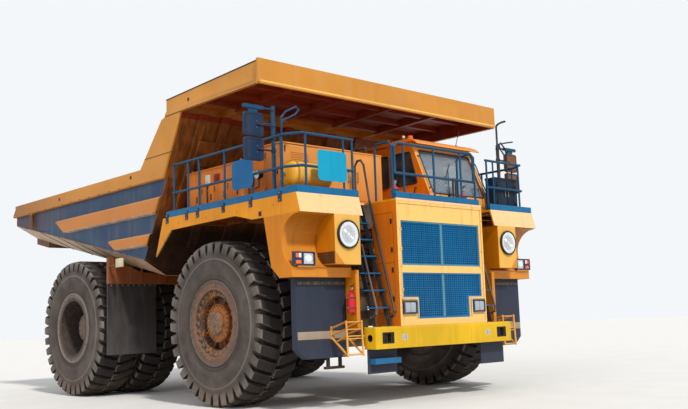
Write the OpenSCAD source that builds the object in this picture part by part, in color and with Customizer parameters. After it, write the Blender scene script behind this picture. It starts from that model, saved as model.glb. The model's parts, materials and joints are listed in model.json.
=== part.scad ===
// Rigid rear-dump mining truck. Millimetres, +X forward, +Y to the truck's left, +Z up.
// Inside the modules x is measured from the front axle, z from the ground; on_frame() moves
// the whole truck so that the middle of its length and width stands over the origin.

/* [Overall] */
// Distance between the front and rear axles
wheelbase = 5300; // [5200:10:5500]
// Front face of the bumper ahead of the front axle
nose_x = 2825; // [2805:5:2900]
// Tail of the dump body behind the rear axle
tail_back = 3600; // [3400:10:3700]

/* [Wheels] */
// Radius of a tyre over its lugs
tyre_r = 1485; // [1470:1:1490]
// Radius at the outer edge of the tread
shoulder_r = 1443; // [1425:1:1450]
// Width of a tyre
tyre_w = 900; // [880:2:910]
// Lugs on each half of a tread
lugs = 36; // [32:1:40]
// Depth of the grooves between the lugs
lug_depth = 88; // [70:1:95]
// Width of the grooves
groove_w = 78; // [60:1:90]
// How far a groove leans along the tread between its two ends
lug_lean = 150; // [100:5:180]
// Bead seat radius of the rims
bead_r = 650; // [640:1:660]
// Rim flange radius
flange_r = 775; // [760:1:790]
// Middle of a front tyre from the centre line
front_tyre_y = 2683; // [2670:1:2700]
// Middle of an outer rear tyre from the centre line
outer_tyre_y = 2854; // [2840:1:2870]
// Middle of an inner rear tyre from the centre line
inner_tyre_y = 1815; // [1800:1:1830]

/* [Steering] */
// Kingpin from the centre line
kingpin_y = 1950; // [1930:5:1960]
// Kingpin radius
kingpin_r = 90; // [80:1:95]
// Length of a steering arm, from kingpin to tie rod pin
steer_arm = 550; // [500:5:600]
// Radius of a front spindle
spindle_r = 140; // [120:1:150]
// Radius of the motor housing that carries a rear hub
rear_spindle_r = 400; // [380:1:420]
// Radial running clearance of every pin and spindle
run_gap = 0.05; // [0.03:0.01:0.09]

/* [Frame] */
// Inner face of a frame rail from the centre line
rail_in = 420; // [400:5:440]
// Thickness of a frame rail
rail_w = 200; // [180:5:210]
// Top of the rails over the axles
rail_rise = 765; // [755:5:785]
// Depth of the rails ahead of the kick-up
rail_h = 520; // [500:5:530]

/* [Dump body] */
// Slope of the floor, in degrees
floor_slope = 11.72; // [11.5:0.02:12]
// Lower edge of the side wall over the tyres, at the reference point
edge_rise_over = 105; // [95:5:130]
// Reference point of the lower edge ahead of the rear axle
edge_ahead = 1506; // [1490:2:1530]
// Outer face of the top rail and ribs from the centre line
body_y = 3235; // [3220:1:3245]
// Thickness of the side wall plate
wall_t = 50; // [40:1:60]
// How far the rails and ribs stand proud of the wall
rib_t = 95; // [80:1:110]
// Depth of the slanting floor edge
chine_h = 320; // [300:5:330]
// Half width of the flat floor
floor_y = 2550; // [2500:5:2600]
// Thickness of the floor plate
floor_t = 60; // [50:1:65]
// Top of the side rail over the reference point
wall_h = 1545; // [1525:5:1565]
// Height of the side rail
siderail_h = 290; // [270:5:310]
// Underside of the canopy over the side rail
canopy_over = 910; // [900:5:925]
// Height of the canopy at its front edge
canopy_h = 446; // [430:1:460]
// Front edge of the canopy ahead of the front axle
canopy_x = 1646; // [1600:2:1680]
// Lean of the front wall from the vertical, in degrees
front_lean = 28.84; // [28:0.02:29.5]
// Foot of the front wall on the lower edge, behind the front axle
front_foot = 2360; // [2340:5:2400]
// Tipping pivot behind the rear axle
pivot_back = 1300; // [1260:5:1340]
// Radius of the tipping pivot pins
pivot_r = 90; // [80:1:95]

/* [Hoists] */
// Hoists ahead of the rear axle
hoist_ahead = 1750; // [1730:5:1760]
// Hoists from the centre line
hoist_y = 950; // [930:5:970]
// Height of the lower hoist pin
hoist_low = 1000; // [980:5:1020]
// Radius of a hoist barrel
barrel_r = 170; // [160:1:180]
// Radius of the hoist pins
hoist_pin_r = 50; // [40:1:55]

/* [Front end] */
// Front of the radiator housing ahead of the front axle
rad_x = 2782; // [2770:1:2790]
// Rear of the radiator housing ahead of the front axle
rad_back = 2150; // [2120:5:2160]
// Half width of the radiator housing
rad_y = 1165; // [1155:1:1170]
// Half width of the grilles
grille_y = 1064; // [1040:1:1070]
// Half width of the lower grille's foot
grille_foot_y = 690; // [670:1:700]
// Cells across a grille
grille_cells = 38; // [30:2:40]
// Distance between two cross bars of a grille
grille_pitch = 39; // [36:1:50]
// Bottom of the bumper
bumper_z = 964; // [950:1:980]
// Top of the bumper
bumper_top = 1332; // [1320:1:1345]
// Half width of the bumper
bumper_y = 1820; // [1810:1:1840]
// Fore and aft depth of the bumper
bumper_d = 280; // [260:5:290]

/* [Decks] */
// Walking surface of the decks over the tyres
deck_over = 570; // [560:1:580]
// Thickness of the deck plates
deck_t = 40; // [30:1:45]
// Outer side of the decks from the centre line
deck_y = 3176; // [3165:1:3180]
// Inner side of the side decks, where the ladder well begins
deck_in = 1794; // [1780:1:1800]
// Front edge of the side decks ahead of the front axle
deck_x = 2510; // [2500:1:2520]
// Rear edge of the decks behind the front axle
deck_back = 1490; // [1480:1:1500]
// Height of the handrails over the deck
rail_over = 1010; // [980:5:1030]
// Height of the middle handrails over the deck
mid_over = 465; // [450:5:520]
// Outside diameter of a handrail
rail_d = 48; // [42:1:54]
// Distance between two ladder treads
tread_pitch = 301; // [290:1:305]

/* [Cab] */
// Right wall of the cab from the centre line
cab_right = 550; // [530:5:570]
// Left wall of the cab from the centre line
cab_left = 2350; // [2330:5:2370]
// Rear wall of the cab ahead of the front axle
cab_back = 150; // [130:5:170]
// Front of the cab at its foot, ahead of the front axle
cab_foot = 2060; // [2040:5:2080]
// Front of the cab under its roof, ahead of the front axle
cab_brow = 1600; // [1580:5:1620]
// Height of the cab over the deck
cab_h = 1460; // [1440:5:1470]
// Thickness of the cab walls
cab_t = 60; // [50:1:65]

/* [Hidden] */
$fn = 64;

// Clearance between pieces that seat on each other
seat = 0.3;
// Signs of the two sides of the truck
RIGHT = -1;
LEFT = 1;
// Colours
ORANGE = [0.80, 0.45, 0.10];
YELLOW = [0.88, 0.66, 0.14];
BLUE = [0.08, 0.36, 0.58];
DARK = [0.14, 0.15, 0.17];
STEEL = [0.45, 0.43, 0.40];
RUBBER = [0.22, 0.21, 0.21];
RUST = [0.55, 0.32, 0.18];
GLASS = [0.5, 0.6, 0.7, 0.4];

// Places that follow from the driving dimensions
rear_axle_x = -wheelbase;
tail_x = wheelbase + tail_back;
rail_top = tyre_r + rail_rise;
rail_out = rail_in + rail_w;
deck_z = 2 * tyre_r + deck_over;
cab_top = deck_z + cab_h;
edge_x = wheelbase - edge_ahead;
edge_z = 2 * tyre_r + edge_rise_over;
rail_z = edge_z + wall_h;
canopy_z = rail_z + canopy_over;
canopy_top = canopy_z + canopy_h;
wall_y = body_y - rib_t;
pivot_x = wheelbase + pivot_back;
pivot_z = rail_top + 50;
hoist_x = wheelbase - hoist_ahead;
hoist_high = rail_top + 250;
// Front end of the frame rails, and the rails' rise over the rear axle
frame_x = 2300;
kick_x = -2200;
kick_end = rear_axle_x - 1100;
kick_top = rail_top + 450;
// Middle of the ball joint at the nose of the rear axle's A-frame
nose_at = rear_axle_x + 1850;
nose_y = 260;
// Top of the front axle beam and of the pads on the rear axle
beam_top = tyre_r + 165;
pad_top = tyre_r + 215;
// Thickness of the radiator housing's front panel, and the depth of its recessed field
face_t = 60;
face_in = 12;
face_x = rad_x - face_in;
// Grille openings: top and bottom of the upper one, top, shoulder and bottom of the lower one
upper_grille = [deck_z - 382, deck_z - 1164];
lower_grille = [deck_z - 1293, bumper_top + 488, bumper_top + 113];
// Lower edge of the deck valances, and how far they reach forward there
valance_low = deck_z - 325;
valance_x = deck_x + 87;
// Lower edge of the front fenders and of the guard beams ahead of the rear wheels
fender_low = deck_z - 1360;
guard_z = rail_top + 121;

edge_rise = tan(floor_slope);
front_run = tan(front_lean);

// Height of the side wall's lower edge, and of the flat floor's underside, at x
function edge_at(x) = edge_z + edge_rise * (-edge_x - x);
function under_at(x) = edge_at(x) - chine_h;
// Front wall's outer face at height z
foot_z = edge_at(-front_foot);
function front_at(z) = -front_foot + front_run * (z - foot_z);
// Top of the frame rails at x, behind the kick-up
function rail_at(x) = rail_top + (kick_top - rail_top) * (kick_x - x) / (kick_x - kick_end);
// Middle of a ladder stringer at height z
function ladder_x(z) = 2523 - 0.29 * (z - 1430);

// Rectangle with round corners of radius r, as an outline
function rounded(low, high, r) =
    [for (k = [0 : 3], i = [0 : 4]) let (a = 90 * k + 22.5 * i)
        [(k == 0 || k == 3 ? high.x - r : low.x + r) + r * cos(a),
         (k < 2 ? high.y - r : low.y + r) + r * sin(a)]];

// Rectangle with its corners cut off by c, as an outline
function clipped(low, high, c) =
    [[low.x + c, low.y], [high.x - c, low.y], [high.x, low.y + c], [high.x, high.y - c],
     [high.x - c, high.y], [low.x + c, high.y], [low.x, high.y - c], [low.x, low.y + c]];

// Moves the truck so that the middle of its length is over the origin
module on_frame() translate([(tail_x - nose_x) / 2, 0, 0]) children();

// The same piece on both sides of the truck
module both_sides() {
    children();
    mirror([0, 1, 0]) children();
}

// The piece that is modelled on the left, put on the given side
module on_side(side) mirror([0, side == RIGHT ? 1 : 0, 0]) children();

// Box between two corners
module block(low, high) translate(low) cube(high - low);

// Outline in X and Z, from y0 to y1
module across(outline, y0, y1)
    translate([0, y1, 0]) rotate([90, 0, 0]) linear_extrude(y1 - y0) polygon(outline);

// Outline in Y and Z, from x0 to x1
module along(outline, x0, x1)
    translate([x0, 0, 0]) rotate([90, 0, 90]) linear_extrude(x1 - x0) polygon(outline);

// Cylinder along Y, from y0 to y1, at x and z
module shaft(x, z, r, y0, y1)
    translate([x, y1, z]) rotate([90, 0, 0]) cylinder(r = r, h = y1 - y0);

// Upright cylinder with its foot at p
module upright(p, r, h) translate(p) cylinder(r = r, h = h);

// Round bar from one point to another
module bar(a, b, r) {
    d = b - a;
    translate(a)
        rotate([0, acos(d.z / norm(d)), atan2(d.y, d.x)])
            cylinder(r = r, h = norm(d));
}

// Tube through a list of points, with ball elbows a little stouter than the tube; turn puts the
// balls' seams off the tubes
module pipe(points, r, turn = 0) {
    for (i = [0 : len(points) - 2]) bar(points[i], points[i + 1], r);
    for (i = [1 : len(points) - 2]) translate(points[i]) rotate([0, 0, turn]) sphere(r = r + 3);
}

// Revolved outline about Y: the outline's x is the radius and its y runs along +Y
module turned(outline) rotate([-90, 0, 0]) rotate_extrude() polygon(outline);
module turned_at(x, z, outline) translate([x, 0, z]) turned(outline);

module frame_rails() {
    tail = rear_axle_x - 1550;
    rear_low = rail_top - 170;
    color(ORANGE) on_frame() {
        both_sides() {
            across([[frame_x, rail_top - rail_h], [frame_x, rail_top], [kick_x, rail_top],
                    [kick_end, kick_top], [tail, kick_top - 120], [tail, rear_low + 40],
                    [kick_end, rear_low], [rear_axle_x + 900, rear_low],
                    [kick_x - 400, rail_top - rail_h]],
                   rail_in, rail_out);
            shaft(-pivot_x, pivot_z, pivot_r, rail_out, rail_out + 230);
            block([-170, rail_in, rail_top - 10], [170, rail_out, rail_top + 510]);
            block([-170, rail_out - 10, rail_top + 110], [170, 1380, rail_top + 510]);
            block([frame_x - 200, rail_in, bumper_z + 40], [frame_x, rail_out, rail_top - rail_h + 10]);
            block([nose_at - 70, nose_y + seat, tyre_r - 55],
                  [nose_at + 70, nose_y + 60, rail_top - rail_h / 2]);
            hoist_foot();
        }
        for (x = [2000, -1500, nose_at]) shaft(x, rail_top - rail_h / 2, 130, -rail_in, rail_in);
        shaft(-pivot_x, pivot_z, 140, -rail_in, rail_in);
        shaft(-hoist_x, hoist_low, 90, -rail_out, rail_out);
    }
}

// Bracket and pin under a rail that carries a hoist
module hoist_foot() {
    in_y = hoist_y - barrel_r - 10;
    across([[-hoist_x - 150, rail_top - 250], [-hoist_x + 450, rail_top - 400],
            [-hoist_x + 110, hoist_low - 110], [-hoist_x - 110, hoist_low - 110]], rail_in, rail_out);
    shaft(-hoist_x, hoist_low, 90, rail_out, in_y);
    shaft(-hoist_x, hoist_low, hoist_pin_r, in_y, hoist_y + 110);
}

module front_axle() {
    beam_low = tyre_r - 165;
    color(DARK) on_frame() {
        block([-180, -kingpin_y, beam_low], [180, kingpin_y, beam_top]);
        both_sides() {
            upright([0, kingpin_y, beam_low - 20], 200, beam_top - beam_low + 40);
            upright([0, kingpin_y, tyre_r - 355], kingpin_r, 710);
            upright([0, 1250, beam_top], 170, 60);
        }
    }
}

module rear_axle() {
    color(DARK) on_frame() {
        turned_at(rear_axle_x, tyre_r, [[0, -1340], [420, -1340], [560, -1150], [560, 1150],
                                        [420, 1340], [0, 1340]]);
        both_sides() {
            shaft(rear_axle_x, tyre_r, rear_spindle_r, 1340, 2600);
            bar([rear_axle_x + 350, 500, tyre_r], [nose_at, 60, tyre_r + 75], 100);
            block([rear_axle_x - 790, 830, tyre_r + 75], [rear_axle_x - 430, 1090, pad_top]);
        }
        shaft(nose_at, tyre_r + 75, 150, -nose_y, nose_y);
    }
}

module suspension_struts() {
    strut_x = rear_axle_x - 660;
    color(STEEL) on_frame() both_sides() {
        upright([0, 1250, beam_top + 60 + seat], 110, 330);
        upright([0, 1250, rail_top - 250], 150, 360 - seat);
        upright([strut_x, 960, pad_top + seat], 90, 200);
        upright([strut_x, 960, pad_top + 160], 125, rail_top + 30 - pad_top - 160);
        block([strut_x - 100, rail_out + seat, rail_top - 100], [strut_x + 100, 1000, rail_top + 80]);
    }
}

module engine_block() {
    core_back = rad_x - 302;
    color(STEEL) on_frame() {
        block([-1300, -rail_in + seat, rail_top - 530], [1650, rail_in - seat, rail_top + 700]);
        // radiator core behind the grilles, and the fan's duct
        block([core_back, -1080, bumper_top + 128], [rad_x - 90, 1080, deck_z - 360]);
        block([1650, -300, rail_top - 50], [core_back, 300, rail_top + 550]);
    }
}

// Outlines of the two grilles, pulled in by g
function upper_outline(g) = clipped([-grille_y + g, upper_grille[1] + g],
                                    [grille_y - g, upper_grille[0] - g], 2);
function lower_outline(g) = let (w = grille_y - g, foot = grille_foot_y - g)
    [[-w, lower_grille[1] + g], [-w, lower_grille[0] - g], [w, lower_grille[0] - g],
     [w, lower_grille[1] + g], [foot, lower_grille[1] + g], [foot, lower_grille[2] + g],
     [-foot, lower_grille[2] + g], [-foot, lower_grille[1] + g]];

module radiator_housing() {
    top = deck_z - deck_t;
    skin = 40;
    rim = 45;
    color(YELLOW) on_frame() difference() {
        block([rad_back, -rad_y, bumper_top + seat], [rad_x, rad_y, top - seat]);
        block([rad_back - 1, -rad_y + skin, bumper_top - 1], [rad_x - face_t, rad_y - skin, top - skin]);
        block([face_x, -rad_y + rim, bumper_top + rim], [rad_x + 1, rad_y - rim, top - rim]);
        along(upper_outline(0), rad_x - face_t - 1, rad_x + 1);
        along(lower_outline(0), rad_x - face_t - 1, rad_x + 1);
    }
}

// Frame of a grille between two outlines
module grille_frame(outer, inner) {
    back = rad_x - face_t + seat;
    difference() {
        along(outer, back, back + 40);
        along(inner, back - 1, back + 41);
    }
}

// Two grilles of upright bars in front and cross bars behind them, their ends sunk in the frames
module radiator_grilles() {
    back = rad_x - face_t + seat;
    ring = 28;
    sunk = ring / 2;
    bar_t = 12;
    pitch = 2 * grille_y / grille_cells;
    // half width of the lower grille at height z
    function reach(z) = z > lower_grille[1] + ring ? grille_y : grille_foot_y;
    color(BLUE) on_frame() {
        grille_frame(upper_outline(seat), upper_outline(ring));
        grille_frame(lower_outline(seat), lower_outline(ring));
        for (i = [1 : grille_cells - 1]) {
            y = -grille_y + i * pitch;
            wide = i == grille_cells / 2 ? 30 : bar_t / 2;
            foot = abs(y) < grille_foot_y - ring / 2 ? lower_grille[2] : lower_grille[1];
            block([back + 26, y - wide, upper_grille[1] + sunk], [back + 36, y + wide, upper_grille[0] - sunk]);
            block([back + 26, y - wide, foot + sunk], [back + 36, y + wide, lower_grille[0] - sunk]);
        }
        for (z = [upper_grille[1] + grille_pitch : grille_pitch : upper_grille[0] - grille_pitch / 2])
            block([back + 12, -grille_y + sunk, z - bar_t / 2], [back + 22, grille_y - sunk, z + bar_t / 2]);
        for (z = [lower_grille[2] + grille_pitch : grille_pitch : lower_grille[0] - grille_pitch / 2])
            block([back + 12, -reach(z) + sunk, z - bar_t / 2], [back + 22, reach(z) - sunk, z + bar_t / 2]);
    }
}

module bumper() {
    back = nose_x - bumper_d;
    edge = 25;
    color(YELLOW) on_frame() difference() {
        union() {
            across([[back, bumper_z], [nose_x, bumper_z], [nose_x, bumper_top - edge],
                    [nose_x - edge, bumper_top], [back, bumper_top]], -bumper_y, bumper_y);
            both_sides() block([frame_x + seat, rail_in, bumper_z + 40], [nose_x - 50, rail_out, bumper_top - 5]);
        }
        both_sides() {
            translate([nose_x - 120, 1524 - 70, 1146 - 70]) cube([130, 140, 140]);
            block([nose_x - 15, 1060 - seat, 1100 - seat], [nose_x + 1, 1190 + seat, 1198 + seat]);
            shaft(nose_x - bumper_d / 2, 1146, 60, bumper_y - 90, bumper_y + 1);
        }
    }
}

// Round lamp that looks forward: a cup with a raised rim round its lens
module round_lamp(p, r, h) translate(p) rotate([0, 90, 0]) difference() {
    cylinder(r = r, h = h);
    translate([0, 0, h - 18]) cylinder(r = r - 26, h = 20);
}

// Square lamp with its lenses sunk into the bezel; lenses are [y0, z0, y1, z1]
module square_lamp(low, high, lenses) difference() {
    block(low, high);
    for (l = lenses) block([high.x - 14, l[0], l[1]], [high.x + 1, l[2], l[3]]);
}

module lamps() {
    guard_x = rad_x + 20;
    color("white") on_frame() both_sides() {
        round_lamp([2600 + seat, 2166, 2880], 238, 42);
        square_lamp([face_x + seat, 765, 1532], [rad_x + 33, 1100, 1758], [[790, 1555, 1075, 1735]]);
        pipe([[face_x + seat, 1106, 1788], [guard_x, 1106, 1788], [guard_x, 728, 1788],
              [guard_x, 728, 1480], [face_x + seat, 728, 1480]], 10);
        block([nose_x - 15 + seat, 1060, 1100], [nose_x - 1, 1190, 1198]);
        square_lamp([2345, 2715, fender_low + 182 + seat], [2400, 3165, fender_low + 410],
                    [[2740, 2385, 2960, 2570], [3000, 2385, 3130, 2455], [3000, 2485, 3130, 2570]]);
    }
}

module front_fenders() {
    arc_x = 2544;
    arc_z = deck_z - 787;
    arc_r = 447;
    skin = 40;
    low = fender_low;
    top = valance_low - seat;
    pod_x = 2600;
    pod_y = 2452;
    color(ORANGE) on_frame() both_sides() {
        // outer side band
        difference() {
            across([[1630, top], [arc_x, top], [arc_x, arc_z], [2350, low + 160], [2350, low],
                    [2020, low], [1814, low + 180]], deck_y - 60, deck_y);
            shaft(arc_x, arc_z, arc_r, deck_y - 61, deck_y + 1);
        }
        // dished front skin
        difference() {
            shaft(arc_x, arc_z, arc_r + skin, 1880, deck_y - 60);
            shaft(arc_x, arc_z, arc_r, 1879, deck_y - 59);
            block([arc_x, 1878, 2000], [3200, deck_y, 3500]);
            block([1900, 1878, 2000], [3200, deck_y, low + 160]);
            block([1900, 1878, top], [3200, deck_y, 3500]);
        }
        block([2020, 1880, low], [2350, deck_y - 60, low + 170]);
        block([2300, 2730, low + 160], [2395, 3080, low + 182]);
        // headlight box with its vents, and its foot
        difference() {
            along([[1880, low + 200], [2250, low + 200], [pod_y, low + 420], [pod_y, top], [1880, top]],
                  2130, pod_x);
            for (i = [0 : 6])
                block([2190 + 54 * i, pod_y - 25, low + 450], [2216 + 54 * i, pod_y + 1, low + 600]);
        }
        block([2150, 1800, bumper_top - 40], [2450, 1881, low + 120]);
    }
}

module side_decks() {
    valance = 30;
    color(YELLOW) on_frame() both_sides() {
        block([-deck_back, deck_in, deck_z - deck_t], [deck_x - 20, deck_y - valance, deck_z]);
        across([[deck_x, deck_z], [valance_x, valance_low], [1309, valance_low],
                [813, valance_low + 115], [-1308, valance_low + 76], [-1875, valance_low - 401],
                [-1600, deck_z]], deck_y - valance, deck_y);
        across([[deck_x, deck_z], [valance_x, valance_low], [valance_x - 30, valance_low],
                [deck_x - 30, deck_z]], deck_in, deck_y - valance);
    }
}

module center_deck() {
    color(YELLOW) on_frame() {
        block([-1200, -deck_in + seat, deck_z - deck_t], [2000, deck_in - seat, deck_z]);
        block([2000, -rad_y, deck_z - deck_t], [rad_x - 20, rad_y, deck_z]);
        block([rad_x - 20, -rad_y, deck_z - deck_t], [rad_x, rad_y, deck_z + 10]);
    }
}

// Handrails of the decks; top and mid are the heights of the two rails
module railings() {
    r = rail_d / 2;
    post_r = r - 4;
    top = deck_z + rail_over;
    mid = deck_z + mid_over;
    in_y = deck_y - 40;
    front_x = deck_x - 80;
    end_y = deck_in + 50;
    board = 120;
    // blank plates on the rails, sunk a little into them
    plate_z = [deck_z + 240, deck_z + 760];
    sunk = r - 4;
    color(BLUE) on_frame() {
        both_sides() {
            for (z = [top, mid])
                pipe([[-1270, in_y, z], [2140, in_y, z], [front_x, in_y - 180, z], [front_x, end_y - 30, z]],
                     r, 45);
            for (x = [-1240, -740, -370, 460, 1280, 2090])
                bar([x, in_y, deck_z + seat], [x, in_y, top], post_r);
            for (y = [2890, end_y])
                bar([front_x, y, deck_z + seat], [front_x, y, top], post_r);
            bar([front_x, 2050, deck_z + seat], [front_x, 2050, top], post_r - 2);
            block([-1480, deck_y - 12, deck_z + seat], [deck_x - 10, deck_y, deck_z + board]);
            block([deck_x - 12, deck_in, deck_z + seat], [deck_x, deck_y - 12, deck_z + board]);
            // feet of the posts, over the edge of the valance
            for (x = [-1440, -740, -370, 460, 1280, 2090]) post_foot(x);
        }
        centre_railing(rad_x - 82, top, mid, r, post_r);
        across(clipped([720, plate_z[0]], [1340, plate_z[1]], 60), -in_y - sunk - 8, -in_y - sunk);
        along(rounded([-2650, plate_z[0]], [-2000, plate_z[1]], 70), front_x + sunk, front_x + sunk + 8);
    }
}

module post_foot(x) {
    block([x - 45, deck_y + seat, deck_z - 110], [x + 45, deck_y + 12, deck_z + 60]);
    block([x - 45, deck_y - 10, deck_z + 1], [x + 45, deck_y + 12, deck_z + 60]);
}

// Loop over the centre platform's front edge on three posts, with a fore-and-aft hoop at each side
module centre_railing(x, top, mid, r, post_r) {
    w = rad_y - 85;
    pipe([[x, -w, mid], [x, w, mid], [x, w, top - 80], [x, w - 80, top], [x, 80 - w, top],
          [x, -w, top - 80], [x, -w, mid], [x, w, mid]], r);
    for (y = [-850, -50, 710])
        bar([x, y, deck_z + seat], [x, y, top], post_r);
    both_sides() pipe([[x - 15, rad_y - 35, deck_z + seat], [x - 15, rad_y - 35, top - 60],
                       [x - 80, rad_y - 35, top + 20], [x - 380, rad_y - 35, top + 20],
                       [x - 440, rad_y - 35, top - 60], [x - 440, rad_y - 35, deck_z + seat]], post_r);
    block([rad_x - 32, -rad_y + 30, deck_z + 10 + seat], [rad_x - 20, rad_y - 30, deck_z + 120]);
}

// Ladders: flat-bar stringers, plate treads and tube handrails
module ladders() {
    low = bumper_top + seat;
    high = deck_z - deck_t - seat;
    in_y = 1200;
    out_y = 1550;
    tube = 20;
    color(BLUE) on_frame() {
        both_sides() {
            for (y = [in_y, out_y])
                across([[ladder_x(low) - 50, low], [ladder_x(low) + 50, low],
                        [ladder_x(high) + 50, high], [ladder_x(high) - 50, high]], y, y + 14);
            for (i = [0 : 5]) {
                z = deck_z - 375 - i * tread_pitch;
                block([ladder_x(z) - 40, 1172, z - 20], [ladder_x(z) + 100, 1700, z]);
            }
            // outer handrail
            pipe([[ladder_x(2700), out_y + 7, 2700], [2340, 1600, 2735], [2644, 1600, 1641],
                  [2639, 1600, 1540], [2500, 1600, 1480], [2500, out_y + 7, 1480]], tube);
        }
        // right handrail, with the hoop that it ends in behind the deck's edge
        pipe([[2500, -in_y - 7, 1480], [2530, -1192, 1485], [2645, -1192, 1530], [2664, -1192, 1592],
              [2150, -1192, 3560], [2030, -1192, 4240], [1960, -1192, 4330], [1870, -1192, 4330],
              [1800, -1192, 4240], [1800, -1192, deck_z + seat]], tube);
        // left handrail, which turns down to the platform in front of the cab
        pipe([[2500, in_y + 7, 1480], [2530, 1192, 1485], [2645, 1192, 1530], [2664, 1192, 1592],
              [2160, 1192, 3560], [2160, 1192, 4150], [2160, 1110, 4150], [2160, 1110, deck_z + seat]],
             tube);
        // step under the right end of the bumper
        block([2620 + seat, -1780, 720], [2760, -1170, 810]);
    }
}

// Triangular side frames of the folding steps ahead of the mud panels, with their treads
module lattice_steps() {
    r = 18;
    back = 2212;
    ys = [1902, 2250];
    color(YELLOW) on_frame() both_sides() {
        for (y = ys) {
            block([2200 + seat, y - 19, 1150], [2220, y + 19, 1365]);
            pipe([[back, y, 1333], [2580, y, 1437], [2604, y, 885], [back, y, 1184]], r);
            bar([back, y, 1222], [2590, y, 1320], r - 3);
            bar([2325, y, 1112], [2592, y, 1206], r - 3);
        }
        for (p = [[2560, 1428], [2560, 1308], [2560, 1198], [2590, 896]])
            shaft(p.x, p.y, r - 6, ys[0], ys[1]);
        for (z = [1165, 905]) block([2480, ys[0], z - 14], [2596, ys[1], z]);
        shaft(2560, 1190, 12, bumper_y + seat, ys[0] + 10);
    }
}

module mudflaps() {
    top = fender_low - seat;
    color(DARK) on_frame() both_sides() {
        along([[1885, top], [2980, top], [2980, 1010], [2790, 850], [1885, 850]], 2060, 2200);
        block([2600, 1130, 560], [2620, bumper_y, bumper_z - seat]);
        block([rear_axle_x + 1620, 2150, 900], [rear_axle_x + 1660, 3300, guard_z - seat]);
    }
}

module rear_guards() {
    front = rear_axle_x + 1700;
    color(ORANGE) on_frame() both_sides() {
        along([[1180, guard_z], [1180, guard_z + 229], [2500, guard_z + 249], [3250, guard_z + 559],
               [3300, guard_z + 559], [3300, guard_z]], front - 100, front);
        block([front - 100, 1180, guard_z], [front + 360, 1280, guard_z + 189]);
        block([front + 260, rail_out + seat, guard_z], [front + 360, 1280, guard_z + 189]);
    }
}

module side_tanks() {
    front = rear_axle_x + 3220;
    color(ORANGE) on_frame() both_sides()
        across(clipped([front - 1120, rail_top - 1100], [front, rail_top - 200], 110),
               rail_out + seat, 1750);
}

// Cabinet with a lid and door leaves proud of its right side; doors is their number
module cabinet(low, high, doors) {
    lid = 8;
    leaf = (high.x - low.x) / doors;
    block(low, [high.x, high.y, high.z - 30]);
    block([low.x - lid, low.y - lid, high.z - 31], [high.x + lid, high.y + lid, high.z]);
    for (i = [0 : doors - 1])
        block([low.x + i * leaf + 15, low.y - lid, low.z + 60],
              [low.x + (i + 1) * leaf - 15, low.y + 1, high.z - 60]);
}

module cabinets() {
    foot = deck_z + seat;
    side = -deck_y + 276;
    color(ORANGE) on_frame() {
        cabinet([-1160, side, foot], [-700, -1300, deck_z + 840], 1);
        cabinet([-670, side, foot], [610, -1300, deck_z + 840], 2);
        cabinet([660, side + 160, foot], [1600, -1080, deck_z + 1040], 1);
        cabinet([620, -1040, foot], [1550, -250, deck_z + 1040], 1);
        // doors in the front of the tall cabinet
        for (y = [-2700, -1900]) block([1599, y, foot + 60], [1612, y + 770, deck_z + 980]);
        // locker on the left deck
        cabinet([2110, 2190, foot], [2360, 2920, deck_z + 700], 1);
    }
}

module air_tank() {
    r = 240;
    x = 1950;
    z = deck_z + 390;
    ends = [-2950, -2010];
    dome = 110;
    color(YELLOW) on_frame() {
        turned_at(x, z, concat(
            [for (a = [0 : 15 : 90]) [r * sin(a), ends[0] + dome * (1 - cos(a))]],
            [for (a = [90 : -15 : 0]) [r * sin(a), ends[1] - dome * (1 - cos(a))]]));
        for (y = [-2780, -2180]) {
            block([x - 150, y - 30, deck_z + seat], [x + 150, y + 30, z - 170]);
            shaft(x, z, r + 8, y - 25, y + 25);
        }
    }
}

// Mirror head: a rounded shell with the glass sunk into its back
module mirror_head(low, high) difference() {
    along(rounded([low.y, low.z], [high.y, high.z], 50), low.x, high.x);
    along(rounded([low.y + 18, low.z + 18], [high.y - 18, high.z - 18], 36), low.x - 1, low.x + 8);
}

module mirrors() {
    mast_x = 1805;
    mast_y = 3064;
    color(BLUE) on_frame() both_sides() {
        upright([mast_x, mast_y, deck_z + seat], 36, 1560 - seat);
        for (z = [deck_z + 1240, deck_z + 790]) {
            upright([mast_x, mast_y, z - 25], 46, 50);
            shaft(mast_x, z, 15, mast_y, 3350);
        }
        mirror_head([mast_x - 25, 3290, deck_z + 1000], [mast_x + 35, 3680, deck_z + 1400]);
        mirror_head([mast_x - 25, 3290, deck_z + 590], [mast_x + 35, 3680, deck_z + 975]);
        // cap over the upper head, carried by the mast
        along([[3285, deck_z + 1470], [3680, deck_z + 1470], [3680, deck_z + 1530], [3285, deck_z + 1530],
               [3260, deck_z + 1500]], mast_x - 30, mast_x + 30);
        along([[3400, deck_z + 1390], [3570, deck_z + 1390], [3570, deck_z + 1475], [3400, deck_z + 1475]],
              mast_x - 15, mast_x + 15);
        shaft(mast_x, deck_z + 1500, 17, mast_y, 3300);
        // looped arm on the post in front of the mast
        pipe([[2030, mast_y, deck_z + seat], [2030, mast_y, deck_z + 1330], [2060, 2990, deck_z + 1430],
              [2100, 2800, deck_z + 1530], [2100, 2740, deck_z + 1480], [2080, 2800, deck_z + 1400],
              [2030, 2990, deck_z + 1300], [2030, mast_y, deck_z + 1260]], 16);
    }
}

// Upright bottle with a valve
module bottle(p, r, h) translate(p) rotate_extrude()
    polygon([[0, 0], [r, 0], [r, h - 60], [r * 0.8, h - 25], [20, h], [20, h + 30], [34, h + 30],
             [34, h + 60], [0, h + 60]]);

module extinguishers() {
    r = 70;
    color("red") on_frame() {
        bottle([2400, -1881 - r - seat, 1580], r, 330);
        for (y = [-985, 880]) bottle([rad_x - 190, y, deck_z + seat], r, 250);
    }
}

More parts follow.
